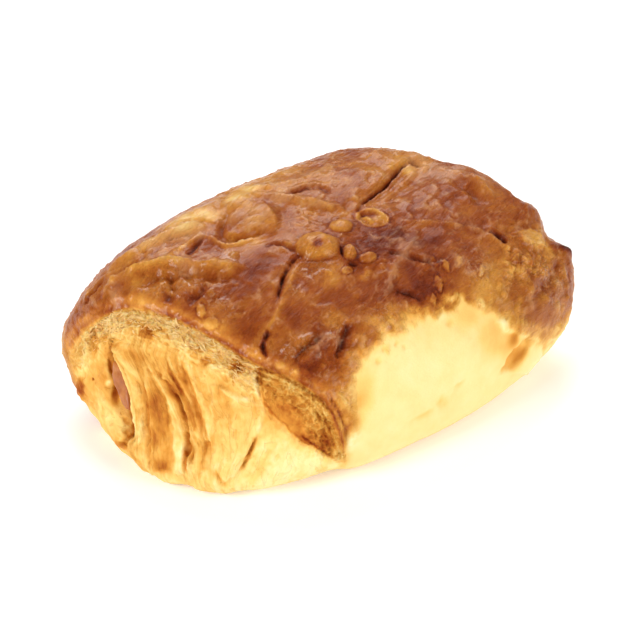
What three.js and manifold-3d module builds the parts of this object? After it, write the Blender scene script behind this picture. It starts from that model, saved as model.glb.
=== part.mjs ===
// A rolled, laminated ham and cheese pastry, in millimetres, +Z up.
// +X runs along the roll, from the cut end that lies open (near) to the other cut end (far).
// -Y is the pale side, +Y the browned back. The roll lies on its flat foot at z = 0.
import * as THREE from 'three';
import { mergeVertices } from 'three/addons/utils/BufferGeometryUtils.js';
import Module from 'manifold-3d';

const wasm = await Module();
wasm.setup();

// Driving dimensions. A curve is a list of [key, value] points that a smooth line runs through.

// Each end of the roll. rimX is the x of the crust's cut edge at a given y, and footX that of the inner
// roll where it lies on the table. top is the crust's height before its edges are rounded, from the right
// side (-1) to the back (1). Below its rim the crust's cut edge is as thick as band, leaning outward by
// lean, and the inner roll shows from cover below the rim.
const NEAR = {
  out: -1,
  rimX: [[-36, -29], [-30, -32], [-19, -37], [-8, -40], [1, -43], [10, -45.6], [20, -48.4], [30, -50.8],
    [40, -51], [47, -49]],
  footX: [[-36, -27], [-33, -31], [-26, -43], [-17, -55], [-8.5, -60], [-1.7, -61.7], [4, -62.8],
    [10.5, -62.8], [17, -60.6], [24, -57], [30, -54.3], [38, -51], [46, -47]],
  top: [[-1, 27], [-0.6, 33.5], [-0.2, 38.5], [0.2, 40.5], [0.6, 37], [1, 28]],
  band: [[-36, 17], [-28, 14], [-20, 10], [-12, 9], [-5, 40], [48, 40]],
  lean: [[-36, 0.12], [-20, 0.45], [-10, 0.3], [-2, 0.08], [10, 0.05], [48, 0]],
  cover: [[-36, 14], [-28, 13], [-20, 8], [-12, 3.5], [0, 1.8], [48, 1.8]],
};
const FAR = {
  out: 1,
  rimX: [[-42, 57], [-36, 61], [-29, 60.5], [-22, 57], [-5, 55.5], [6, 53], [20, 49], [34, 45], [46, 41]],
  footX: [[-36, 55], [-28, 58.5], [-20, 61], [-8, 61.5], [5, 60], [20, 55.5], [34, 50], [46, 43]],
  top: [[-1, 36], [-0.5, 44], [0, 45.8], [0.5, 46.8], [1, 43]],
  band: [[-41, 9], [-34, 16], [-28, 20], [-22, 10], [-14, 10], [-6, 40], [46, 40]],
  lean: [[-42, 0], [-21, 0.1], [-8, 0.05], [46, 0]],
  cover: [[-42, 12], [-27, 9], [-15, 4], [46, 3]],
};
const BAND_UNDERCUT = 0.9;
const RIM_INSET = 0.6;

// Outer wrap between its ends: y of its two sides at a share of the length, and its top halfway
const RIGHT_Y = [[0, -35.5], [0.25, -40.5], [0.5, -44], [0.75, -44.5], [1, -42]];
const BACK_Y = [[0, 48.5], [0.3, 49.5], [0.6, 48], [1, 42]];
const TOP_MIDDLE = [[-1, 41], [-0.5, 44.5], [0, 46.5], [0.5, 48.7], [1, 48.5]];
const TOP_MIDDLE_AT = 0.55;
const TOP_RISE_POWER = 2.8;
const WIDEST_HEIGHT = 13;
const FOOT_DEPTH = 4;
const WRAP_SECTION_POWER = 2.9;
const WRAP_END_POWER = 15;
const WRAP_STEPS = { length: 36, width: 28, height: 12 };

// The back is drawn in below this height, most at the near end
const TUCK_HEIGHT = 22;
const TUCK_NEAR = 13;
const TUCK_FAR = 6;

// At the far end the crust of the right side is torn back above this height, and flares out below it
const FLARE_TOP = 31.5;
const FLARE_FADE = 3;
const FLARE_REACH = 6;
const FLARE_FROM_Y = -26;
const FLARE_FULL_Y = -31;

// Inner roll
const INNER_LIFT = 0.7;
const INNER_WIDEST_HEIGHT = 12;
const INNER_SECTION_POWER = 3.2;
const INNER_END_POWER = 24;
const FOOT_CURVE = 0.75;
const FOOT_ROUND_FROM = 0.8;
const FOOT_ROUND = 4;

// Rolled layers at both ends, from the back to the right: y of the groove between two layers where it
// crosses these heights, and its depth. The first and last rows are the outer edges.
const GROOVE_HEIGHTS = [2, 14, 22, 31];
const GROOVES = [
  { at: [43, 49, 49.5, 46.5], depth: 0 },
  { at: [9, 15.5, 19.5, 24], depth: 1.6 },
  { at: [4, 6.8, 10, 18], depth: 1.2 },
  { at: [-5.5, -3.6, 2.5, 13], depth: 3 },
  { at: [-12.5, -9, -3.2, 5], depth: 1.8 },
  { at: [-16.5, -18.5, -17, -12], depth: 1.6 },
  { at: [-35, -36, -35, -30], depth: 0 },
];
const GROOVE_FADE_FROM = 22;
const GROOVE_FADE_TO = 31;
const COLUMNS_PER_LAYER = 6;
const LEAST_ROUNDED_SHARE = 0.05;
const INNER_STEPS = { length: 8, width: COLUMNS_PER_LAYER * (GROOVES.length - 1), height: 20 };

// Filling: two layers that follow one line in the section, from the top of the slit to its bottom.
// Offsets from the line are positive towards the outer wrap.
const FILLING_LINE = [[22.5, 28], [20.3, 23], [18.3, 19], [16, 14.5], [12.5, 9.5]];
const HAM_OFFSETS = [-2.6, 0.8];
const CHEESE_OFFSETS = [1.1, 2.9];
const FILLING_GAP = 0.3;
const FILLING_STEPS = 12;
const FILLING_STATIONS = 8;
const HAM_SETBACK = 0.7;
const CHEESE_SETBACK = 1.8;
const WAVE_LENGTH = 46;
const WAVE_HEIGHT = 0.3;
const TUNNEL_END = 80;

// Hollows: the open mouth of the slit and a tear low on the right side. along is the long way of the
// hollow and facing the way out of the surface.
const MOUTH = { at: [-55, 21, 18.5], along: [0, 0.3, 0.95], facing: [-1, 0, 0], radii: [8.5, 2.2, 4] };
const TEAR = { at: [24.5, -45.5, 16], along: [0.93, 0, 0.37], facing: [0, -1, 0], radii: [6.5, 1.7, 3] };
const HOLLOW_STEPS = 16;

// Relief of the baked top: bumps stand up and creases sink in. It fades out down the sides, between
// these shares of the section's height.
const RELIEF_FROM = 0.3;
const RELIEF_FULL = 0.9;
const RELIEF = [
  { what: 'long fold at the back', x: -15, y: 29, along: 16, across: 4, turn: -3, height: 2 },
  { what: 'hump beside it', x: -5, y: 17, along: 8, across: 5, turn: 20, height: 2 },
  { what: 'valley before the hump', x: -14, y: 12, along: 7, across: 3.6, turn: -35, height: -1.6 },
  { what: 'crest by the near rim', x: -37, y: 23, along: 9, across: 3.6, turn: -35, height: 1.2 },
  { what: 'crest by the near rim, lower', x: -27, y: 13, along: 10, across: 3.6, turn: -45, height: 1.1 },
  { what: 'near back shoulder', x: -38, y: 37, along: 13, across: 12, turn: 0, height: 2.2 },
  { what: 'far crease', x: 30, y: 0.5, along: 17, across: 3.6, turn: 5, height: -2.4 },
  { what: 'opened blister', x: 13.3, y: -6.3, along: 4.5, across: 3, turn: 10, height: 1.6 },
  { what: 'large blister', x: -6.1, y: -4.4, along: 6, across: 5, turn: 10, height: 2 },
  { what: 'small blister', x: 4.8, y: -3.2, along: 3.2, across: 3.2, turn: 0, height: 1.5 },
  { what: 'small blister', x: -1.6, y: -11, along: 3, across: 3, turn: 0, height: 1.2 },
  { what: 'small blister', x: 1, y: -14.6, along: 3, across: 3, turn: 0, height: 1.2 },
  { what: 'wrinkle behind the large blister', x: -17, y: -6, along: 8, across: 3, turn: 26, height: -0.9 },
  { what: 'furrow by the near rim', x: -35.5, y: -12.5, along: 5, across: 3, turn: 40, height: -0.8 },
];

const MERGE_DISTANCE = 1e-4;

const FINISH = {
  dough: { color: 0xcf9450, roughness: 0.45 },
  ham: { color: 0xd98a78, roughness: 0.5 },
  cheese: { color: 0xe9dca0, roughness: 0.5 },
};

// Small helpers

function clamp(value, low, high) {
  return Math.min(high, Math.max(low, value));
}

function mix(a, b, share) {
  return a + (b - a) * share;
}

function smooth(from, to, value) {
  const share = clamp((value - from) / (to - from), 0, 1);
  return share * share * (3 - 2 * share);
}

// A smooth curve through [key, value] points, flat beyond its ends
function through(points) {
  const slope = (i) => {
    const before = points[Math.max(i - 1, 0)];
    const after = points[Math.min(i + 1, points.length - 1)];
    return (after[1] - before[1]) / (after[0] - before[0]);
  };
  return (key) => {
    const k = clamp(key, points[0][0], points.at(-1)[0]);
    let i = 0;
    while (i < points.length - 2 && k > points[i + 1][0]) i += 1;
    const span = points[i + 1][0] - points[i][0];
    const s = (k - points[i][0]) / span;
    const rise = points[i + 1][1] - points[i][1];
    const start = slope(i) * span;
    const end = slope(i + 1) * span;
    return points[i][1] + s * (start + s * (3 * rise - 2 * start - end + s * (start + end - 2 * rise)));
  };
}

function curvesOf({ out, ...lists }) {
  const curves = Object.entries(lists).map(([name, points]) => [name, through(points)]);
  return { out, ...Object.fromEntries(curves) };
}

const near = curvesOf(NEAR);
const far = curvesOf(FAR);
const rightY = through(RIGHT_Y);
const backY = through(BACK_Y);
const topMiddle = through(TOP_MIDDLE);
const grooveLines = GROOVES.map(({ at }) => through(GROOVE_HEIGHTS.map((height, i) => [height, at[i]])));

// Box grid whose points are moved onto a rounded block, and from there to their place by the given
// function, which also gets how far across the grid the point started
function mappedBlock(steps, sectionPower, endPower, place) {
  const geometry = new THREE.BoxGeometry(2, 2, 2, steps.length, steps.width, steps.height);
  const position = geometry.attributes.position;
  const point = new THREE.Vector3();
  for (let i = 0; i < position.count; i += 1) {
    point.fromBufferAttribute(position, i);
    const section = (Math.abs(point.y) ** sectionPower + Math.abs(point.z) ** sectionPower)
      ** (1 / sectionPower);
    const size = (Math.abs(point.x) ** endPower + section ** endPower) ** (1 / endPower);
    place(point.divideScalar(size), position.getY(i));
    position.setXYZ(i, point.x, point.y, point.z);
  }
  return geometry;
}

function solidOf(geometry) {
  const bare = geometry.clone();
  bare.deleteAttribute('normal');
  bare.deleteAttribute('uv');
  const merged = mergeVertices(bare, MERGE_DISTANCE);
  return new wasm.Manifold(new wasm.Mesh({
    numProp: 3,
    vertProperties: new Float32Array(merged.attributes.position.array),
    triVerts: new Uint32Array(merged.index.array),
  }));
}

function geometryOf(solid) {
  const mesh = solid.getMesh();
  const geometry = new THREE.BufferGeometry();
  geometry.setAttribute('position', new THREE.BufferAttribute(new Float32Array(mesh.vertProperties), 3));
  geometry.setIndex(new THREE.BufferAttribute(new Uint32Array(mesh.triVerts), 1));
  geometry.computeVertexNormals();
  return geometry;
}

// Outer wrap

function wrapTop(share, across) {
  const toMiddle = 1 - (1 - Math.min(1, share / TOP_MIDDLE_AT)) ** TOP_RISE_POWER;
  const toFar = smooth(TOP_MIDDLE_AT, 1, share);
  return mix(mix(near.top(across), topMiddle(across), toMiddle), far.top(across), toFar);
}

// How much of its height a rounded section keeps at a place across it
function roundedShare(across, power) {
  return (1 - Math.min(1, Math.abs(across)) ** power) ** (1 / power);
}

function rimHeight(end, across) {
  return mix(WIDEST_HEIGHT, end.top(across), roundedShare(across, WRAP_SECTION_POWER));
}

function tuck(z, share, across) {
  const low = Math.max(0, 1 - z / TUCK_HEIGHT);
  return mix(TUCK_NEAR, TUCK_FAR, share) * low * low * across;
}

function flare(y, z) {
  const onRight = 1 - smooth(FLARE_FULL_Y, FLARE_FROM_Y, y);
  return FLARE_REACH * onRight * smooth(FLARE_TOP - FLARE_FADE, FLARE_TOP, z);
}

// The cut edge leans outward through the wrap's thickness, then falls back behind the inner roll
function wrapFace(end, y, z, rim) {
  const drop = Math.max(0, rim - z);
  const inBand = Math.min(drop, end.band(y));
  const torn = end === far ? flare(y, z) : 0;
  return end.rimX(y) + end.out * (end.lean(y) * inBand - BAND_UNDERCUT * (drop - inBand) - torn);
}

function reliefAt(x, y) {
  let height = 0;
  for (const mark of RELIEF) {
    const turn = THREE.MathUtils.degToRad(mark.turn);
    const dx = x - mark.x;
    const dy = y - mark.y;
    const along = (dx * Math.cos(turn) + dy * Math.sin(turn)) / mark.along;
    const across = (dy * Math.cos(turn) - dx * Math.sin(turn)) / mark.across;
    height += mark.height * Math.exp(-along * along - across * across);
  }
  return height;
}

function placeWrap(point) {
  const share = (point.x + 1) / 2;
  const across = (point.y + 1) / 2;
  const reach = point.z > 0 ? wrapTop(share, point.y) - WIDEST_HEIGHT : WIDEST_HEIGHT + FOOT_DEPTH;
  const z = WIDEST_HEIGHT + reach * point.z;
  const y = mix(rightY(share), backY(share), across) - tuck(z, share, across);
  const nearX = wrapFace(near, y, z, rimHeight(near, point.y));
  const farX = wrapFace(far, y, z, rimHeight(far, point.y));
  const x = mix(nearX, farX, share);
  point.set(x, y, Math.max(0, z + reliefAt(x, y) * smooth(RELIEF_FROM, RELIEF_FULL, point.z)));
}

// Inner roll

// The grid's columns run along the grooves, so a groove keeps a sharp bottom on a coarse grid
function alongLayers(across, z) {
  const layers = GROOVES.length - 1;
  const place = (1 - across) / 2 * layers;
  const k = clamp(Math.floor(place), 0, layers - 1);
  return { k, share: place - k, y: mix(grooveLines[k](z), grooveLines[k + 1](z), place - k) };
}

function grooveDepth(across, z) {
  const { k, share } = alongLayers(across, z);
  const hollow = 1 - Math.sqrt(Math.max(0, Math.sin(Math.PI * share)));
  const fade = 1 - smooth(GROOVE_FADE_FROM, GROOVE_FADE_TO, z);
  return mix(GROOVES[k].depth, GROOVES[k + 1].depth, share) * hollow * fade;
}

function innerTop(end, across, share) {
  const { y } = alongLayers(across, GROOVE_HEIGHTS.at(-1));
  const rimAcross = 2 * (y - rightY(share)) / (backY(share) - rightY(share)) - 1;
  return Math.max(INNER_WIDEST_HEIGHT, rimHeight(end, rimAcross) - end.cover(y));
}

// The end slopes out from under the rim to its foot, and rounds in again at the table
function innerFace(end, y, z, top) {
  const drop = clamp((top - z) / (top - INNER_LIFT), 0, 1);
  const under = Math.max(0, drop - FOOT_ROUND_FROM) / (1 - FOOT_ROUND_FROM);
  const slope = mix(end.rimX(y) - end.out * RIM_INSET, end.footX(y), drop ** FOOT_CURVE);
  return slope - end.out * FOOT_ROUND * under * under;
}

function placeInner(point, across) {
  const share = (point.x + 1) / 2;
  const nearTop = innerTop(near, point.y, 0);
  const farTop = innerTop(far, point.y, 1);
  const upper = point.z / Math.max(LEAST_ROUNDED_SHARE, roundedShare(point.y, INNER_SECTION_POWER));
  const z = point.z > 0
    ? mix(INNER_WIDEST_HEIGHT, mix(nearTop, farTop, share), Math.min(1, upper))
    : mix(INNER_WIDEST_HEIGHT, INNER_LIFT, -point.z);
  const { y } = alongLayers(point.y, z);
  const nearX = innerFace(near, y, z, nearTop) + grooveDepth(across, z);
  const farX = innerFace(far, y, z, farTop) - grooveDepth(across, z);
  point.set(mix(nearX, farX, share), y, z);
}

// Filling

const fillingLine = new THREE.CatmullRomCurve3(FILLING_LINE.map(([y, z]) => new THREE.Vector3(0, y, z)));

// Closed section between two offsets from the filling line, run on past both its ends by an overrun
function layerShape(low, high, overrun) {
  const length = fillingLine.getLength();
  const pointAt = (offset, step) => {
    const along = mix(-overrun, length + overrun, step / FILLING_STEPS);
    const share = clamp(along / length, 0, 1);
    const at = fillingLine.getPointAt(share);
    const tangent = fillingLine.getTangentAt(share);
    const past = along - share * length;
    return new THREE.Vector2(at.y + tangent.y * past - tangent.z * offset,
      at.z + tangent.z * past + tangent.y * offset);
  };
  const outline = [];
  for (let i = 0; i <= FILLING_STEPS; i += 1) outline.push(pointAt(low, i));
  for (let i = FILLING_STEPS; i >= 0; i -= 1) outline.push(pointAt(high, i));
  return new THREE.Shape(outline);
}

// A run of that section through the roll, with its ends at the given x
function layerRun(shape, nearX, farX) {
  const geometry = new THREE.ExtrudeGeometry(shape, {
    depth: 1, steps: FILLING_STATIONS, bevelEnabled: false,
  });
  const position = geometry.attributes.position;
  for (let i = 0; i < position.count; i += 1) {
    const y = position.getX(i);
    const z = position.getY(i);
    const x = mix(nearX(y, z), farX(y, z), position.getZ(i));
    const wave = WAVE_HEIGHT * Math.sin(x / WAVE_LENGTH * 2 * Math.PI);
    position.setXYZ(i, x, y + wave, z + wave);
  }
  return solidOf(geometry);
}

function fillingLayer([low, high], setback) {
  const top = rimHeight(near, 0);
  const nearX = (y, z) => innerFace(near, y, z, top) + setback;
  const farX = (y, z) => innerFace(far, y, z, top) - setback;
  return layerRun(layerShape(low, high, 0), nearX, farX);
}

function fillingTunnel() {
  const shape = layerShape(HAM_OFFSETS[0] - FILLING_GAP, CHEESE_OFFSETS[1] + FILLING_GAP, FILLING_GAP);
  return layerRun(shape, () => -TUNNEL_END, () => TUNNEL_END);
}

// Rounded hollow whose radii are taken along it, across it and into the surface
function hollow({ at, along, facing, radii }) {
  const long = new THREE.Vector3(...along).normalize();
  const out = new THREE.Vector3(...facing).normalize();
  const side = new THREE.Vector3().crossVectors(out, long);
  const geometry = new THREE.SphereGeometry(1, HOLLOW_STEPS, HOLLOW_STEPS / 2);
  geometry.scale(...radii);
  geometry.applyMatrix4(new THREE.Matrix4().makeBasis(long, side, out));
  geometry.translate(...at);
  return solidOf(geometry);
}

// Assembly

const wrap = solidOf(mappedBlock(WRAP_STEPS, WRAP_SECTION_POWER, WRAP_END_POWER, placeWrap));
const inner = solidOf(mappedBlock(INNER_STEPS, INNER_SECTION_POWER, INNER_END_POWER, placeInner));
const dough = wrap.add(inner)
  .subtract(fillingTunnel())
  .subtract(hollow(MOUTH))
  .subtract(hollow(TEAR));

const pastry = new THREE.Group();

function addPart(name, solid) {
  const material = new THREE.MeshStandardMaterial({ ...FINISH[name], metalness: 0 });
  const mesh = new THREE.Mesh(geometryOf(solid), material);
  mesh.name = name;
  pastry.add(mesh);
}

addPart('dough', dough);
addPart('ham', fillingLayer(HAM_OFFSETS, HAM_SETBACK));
addPart('cheese', fillingLayer(CHEESE_OFFSETS, CHEESE_SETBACK));

// The origin is under the middle of the pastry
const middle = new THREE.Box3().setFromObject(pastry).getCenter(new THREE.Vector3());
pastry.position.set(-middle.x, -middle.y, 0);

export default pastry;
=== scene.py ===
import math

import bmesh
import bpy
import numpy as np
from mathutils import Matrix, Vector, noise
from mathutils.bvhtree import BVHTree


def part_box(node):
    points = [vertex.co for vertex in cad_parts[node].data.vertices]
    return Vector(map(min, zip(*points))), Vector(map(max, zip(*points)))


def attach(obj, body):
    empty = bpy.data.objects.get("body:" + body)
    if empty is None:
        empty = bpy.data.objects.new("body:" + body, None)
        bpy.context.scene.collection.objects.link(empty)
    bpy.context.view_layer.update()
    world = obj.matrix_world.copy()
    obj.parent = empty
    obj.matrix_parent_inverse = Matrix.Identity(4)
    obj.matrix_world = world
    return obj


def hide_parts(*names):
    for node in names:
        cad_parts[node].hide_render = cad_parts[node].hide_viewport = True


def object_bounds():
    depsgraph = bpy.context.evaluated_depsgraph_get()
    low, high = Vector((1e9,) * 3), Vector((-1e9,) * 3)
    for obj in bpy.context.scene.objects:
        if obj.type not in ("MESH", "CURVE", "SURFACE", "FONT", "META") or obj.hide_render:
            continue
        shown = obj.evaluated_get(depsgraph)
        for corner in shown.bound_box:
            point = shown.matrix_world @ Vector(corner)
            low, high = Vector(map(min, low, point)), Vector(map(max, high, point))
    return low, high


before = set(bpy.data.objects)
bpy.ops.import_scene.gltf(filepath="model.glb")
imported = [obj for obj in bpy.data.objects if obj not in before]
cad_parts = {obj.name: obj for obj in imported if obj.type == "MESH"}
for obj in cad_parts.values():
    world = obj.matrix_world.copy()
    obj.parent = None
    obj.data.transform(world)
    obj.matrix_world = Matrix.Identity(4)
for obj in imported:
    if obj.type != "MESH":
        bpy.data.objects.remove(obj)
cad_low, cad_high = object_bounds()

# A rolled ham and cheese pastry. The dough is worked like clay: a fine skin is laid over the solid,
# and folds, creases, blisters, pits and flaky layers are pushed into it, each with its own colour: partly
# the dough's own browning, partly painted shade in creases, hollows and pits and painted highlight on raised
# parts.
# Sizes are in millimetres until a mesh is written. The roll runs along x, from the near cut end.
MM = 0.001

# Where the camera stands
AIM = Vector((-0.68, -2.52, 20.0))
DISTANCE = 560.0
AZIMUTH = math.radians(-50.0)
ELEVATION = math.radians(33.0)
PICTURE_SIZE = 640
FOCAL_PIXELS = 2184.0
SENSOR_WIDTH = 36.0

# Room, in metres
FLOOR_RADIUS = 4.0
LIGHTS = {
    "right_softbox": dict(at=(0.10, -1.05, 0.55), size=0.7, energy=7.5, colour=(1.0, 0.97, 0.93)),
    "left_softbox": dict(at=(-0.95, 0.15, 0.60), size=0.5, energy=9.0, colour=(1.0, 0.97, 0.94)),
    "back_softbox": dict(at=(0.62, 0.62, 0.80), size=0.8, energy=10.0, colour=(1.0, 0.98, 0.99)),
}
WORLD_LIGHT = 0.24
FLOOR_GLOW = 0.22

# Skin. The ends are smoothed by END_SMOOTHING of what the crust is.
DOUGH_VOXEL = 1.36
FILLING_VOXEL = 0.7
SMOOTHING_ROUNDS = 2
CRUST_SMOOTHING_ROUNDS = 4
END_SMOOTHING = 0.25
CLEAR_OF_BOX = 0.02

# The skin is fine where the camera sees it, but for the foot and the smooth pale side, which lies past this
# y, under this height and short of this x
TURNED_AWAY = -0.06
FOOT_TOP = 1.0
SIDE_START = -33
SIDE_TOP = 27
SIDE_END = 38

# It is finest in a band past the near rim, above a height and to both sides of a y, and in these parts of
# the picture: left, top, right, bottom
RIM_BAND = (-1, 5.5)
RIM_BAND_LOW = 15
RIM_BAND_MIDDLE = 8
RIM_BAND_HALF = 34
FINEST = {
    "slit and layers": (100, 335, 216, 470),
    "blisters": (296, 206, 392, 275),
    "flap": (258, 360, 350, 466),
    "tear": (498, 328, 545, 376),
    "notch": (505, 226, 548, 275),
}

# x of the crust's cut edge at a given y, at the near and the far end, both measured from the middle of the
# roll. The crust blends into the ends over a short way.
NEAR_RIM = [(-36, -29), (-30, -32), (-19, -37), (-8, -40), (1, -43), (10, -45.6), (20, -48.4),
            (30, -50.8), (40, -51), (47, -49)]
FAR_RIM = [(-42, 57), (-36, 61), (-29, 60.5), (-22, 57), (-5, 55.5), (6, 53), (20, 49), (34, 45),
           (46, 41)]
MIDDLE = Vector((-0.68, -2.52, 0.0))
RIM_BLEND = (-1.6, 0.2)
FAR_RIM_INSET = 0.5
FAR_RIM_STEP = 1.5
ABOVE = 100.0

# How far from a rim its gap is measured, the gap of all that lies farther off, and what is added low down
RIM_REACH = 14.0
FAR_OFF = 30.0
LOW_DOWN = 12

# Rolled layers at the ends: y of each border between two layers where it crosses these heights
LAYER_HEIGHTS = [2, 14, 22, 31]
LAYER_BORDERS = [[43, 49, 49.5, 46.5], [9, 15.5, 19.5, 24], [4, 6.8, 10, 18], [-5.5, -3.6, 2.5, 13],
                 [-12.5, -9, -3.2, 5], [-16.5, -18.5, -17, -12], [-35, -36, -35, -30]]
LAYER_WIDTH = 6.0

# The crust's cut edge at the near end, as points of the picture
NEAR_EDGE = [(69, 346), (78, 332), (93, 321), (112, 311), (131, 307), (150, 310), (170, 316), (189, 324),
             (208, 334), (227, 345), (246, 357), (263, 366), (281, 373), (300, 382), (314, 391), (326, 403),
             (335, 422), (342, 442), (346, 460)]

# The slit: where the line of the filling runs, how far its walls stand off that line, and how far its two
# lips are drawn along y at a given height, so that the ham shows in a narrow lens
SLIT_LINE = [(9.5, 9.98), (14.5, 13.48), (19, 15.78), (23, 17.78), (28, 19.98)]
SLIT_WALLS = (3.5, 3.2)
SLIT_LIP_ENDS = (-50.0, -44.0)
SLIT_HEIGHTS = [5, 7, 9, 11, 13, 14.5, 16, 17.5, 20, 23, 25, 26.5, 28, 29.5, 31]
LEFT_LIP = [0, -1.5, -3, -3.6, -4, -3.2, -1.8, -0.5, 0, 0, 0, 0, 0, 0, 0]
RIGHT_LIP = [0, 0.3, 0.6, 0.2, -0.3, -0.4, -0.3, 0, 0.2, 1.2, 2.6, 4.4, 4.6, 2.6, 0]
LEFT_LIP_REACH = 7.5
RIGHT_LIP_REACH = 6.0
END_SLANT = 0.74
LIP_BAKE = 0.05

# The near end of the filling: x of its front at two heights, where it widens towards the back and by how
# much, and how far it lies back below and above the lens
FILLING_FRONT = [(10.7, -59.2), (28.8, -52.1)]
HAM_SPREAD = 2.0
CHEESE_SPREAD = 0.0
SPREAD_DEPTH = (5.0, 1.0)
LENS_HEIGHT = 21.5
LENS_HALF = 3.2
LENS_FOOT = (16.0, 13.0)
LENS_TOP = (24.0, 27.0)
SETBACK = 6.0
SETBACK_DEPTH = (14.0, 0.0)
HAM_ROUGHNESS = 0.55
CHEESE_ROUGHNESS = 0.3

# How baked each ground is, from 0, pale, to 1, dark, and how much these change it
CRUST_BAKE = 0.62
SIDE_BAKE = 0.12
END_BAKE = 0.27
FOOT_BAKE = 0.5
FRINGE_PALER = 0.22
BACK_PALER = 0.20
CLOUD_BAKE = 0.13
CALM_LAYERS_PALER = 0.05
LOW_END_PALER = 0.06
BAKE_ROUNDS = 2

# The pale right side: between which y it starts, how far its border and the fringe over it fade, and between
# which x the blur of its near part starts
SIDE_Y = (-22, -30)
SIDE_FADE = (2.4, -2.2)
FRINGE_FADE = (5.0, -1.0)
BORDER_RAGGED = 1.6
SIDE_BLUR_X = (-24, -30)
SIDE_BLUR_ROUNDS = 5
SIDE_WAVES = 0.25
SIDE_FOLDS_LEFT_OUT = 0.8

# Noises on the dough and the filling: turns a millimetre, octaves and seed
NOISES = {
    "leaf, across": (0.45, 3, 71.0),
    "leaf, up": (0.45, 3, 81.0),
    "bent folds, x": (0.06, 2, 3.0),
    "bent folds, y": (0.06, 2, 13.0),
    "bent folds, z": (0.06, 2, 23.0),
    "broad waves": ((0.05, 0.07, 0.07), 2, 11.0),
    "ripples": ((0.32, 0.6, 0.6), 3, 7.0),
    "bend": (0.13, 2, 12.0),
    "leaves": (1.0, 3, 2.0),
    "rings": (1.0, 2, 4.0),
    "bent crumb, y": (0.3, 2, 14.0),
    "bent crumb, z": (0.3, 2, 24.0),
    "lumps": (0.2, 3, 6.0),
    "ragged bits": (0.75, 2, 16.0),
    "side border": (0.12, 3, 21.0),
    "fine side border": (0.45, 3, 91.0),
    "clouds": ((0.04, 0.065, 0.065), 3, 77.0),
    "side waves": (0.09, 3, 31.0),
    "spread": (0.14, 2, 41.0),
    "filling": (0.3, 3, 51.0),
}
LINE_SEED = 33.0

# Foam-like cells of the crumb: turns a millimetre and seed
HOLES = ((0.5, 0.36, 0.5), 9.0)
SMALL_HOLES = ((1.1, 0.8, 1.1), 19.0)
CRUMB_BEND = 2.2

# The crust's folds: turns a millimetre, height, sharpness and seed. They run longer along x, and bend.
FOLDS = [(0.055, 0.5, 0.09, 5.0), (0.11, 0.38, 0.09, 17.0), (0.22, 0.26, 0.10, 27.0), (0.4, 0.2, 0.12, 37.0),
         (0.75, 0.1, 0.14, 47.0)]
FOLD_STRETCH = np.array([0.75, 1.0, 1.0])
FOLD_BEND = 3
WAVE_BEND = 4
WAVE_HEIGHT = 0.7
RIPPLE_HEIGHT = 0.22

# Places where the crust is finely puckered and glints: picture point and radius. There it is glossier and
# bumpier, and pale pinkish specks are painted on it as painted glints.
GLINTS = {
    "left": ((157, 286), 2.8),
    "middle": ((185, 287), 3.2),
    "by the bubbles": ((215, 302), 4.0),
    "by the bubbles, right": ((230, 310), 2.5),
    "dark corner": ((288, 352), 3.0),
    "wet fold": ((305, 343), 3.0),
    "above the side": ((335, 328), 3.5),
    "under the large blister": ((310, 272), 3.0),
    "over the side": ((385, 315), 4.0),
    "small facet": ((230, 257), 2.0),
    "beside the wrinkle": ((292, 290), 2.2),
    "far": ((480, 268), 5.0),
    "flare": ((548, 280), 5.0),
}

# Where a painted sheen, the pale pinkish highlight of fine wrinkles, is laid on the crust: picture point,
# radius and amount
SHEENS = {
    "hump": ((250, 214), 5, 1.8),
    "left facet": ((188, 262), 5, 1.2),
    "near shoulder": ((120, 290), 5, 0.9),
    "top": ((325, 203), 7, 0.6),
    "far top": ((430, 178), 7, 0.8),
    "far edge": ((450, 172), 4, 1.5),
    "far edge by the crease": ((423, 165), 4, 1.5),
    "back": ((180, 233), 4.2, 1.8),
    "back of the ridge": ((150, 242), 4, 1.5),
    "back by the hump": ((197, 232), 3, 1.3),
    "no sheen by the streak": ((258, 254), 3, -0.8),
    "no sheen under the streak": ((254, 278), 3, -0.6),
    "top of the hump": ((281, 198), 3.4, 1.4),
    "towards the notch": ((470, 225), 6, 0.9),
    "middle": ((405, 248), 5, 0.7),
}

# How far the pale right side reaches up, as points of the picture
PALE_EDGE = [(345, 464), (347, 446), (356, 430), (353, 405), (351, 388), (353, 372), (362, 353), (376, 342),
             (385, 332), (400, 322), (417, 314), (440, 307), (456, 303), (472, 305), (488, 310), (502, 319),
             (516, 329), (532, 338), (548, 343)]

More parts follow.
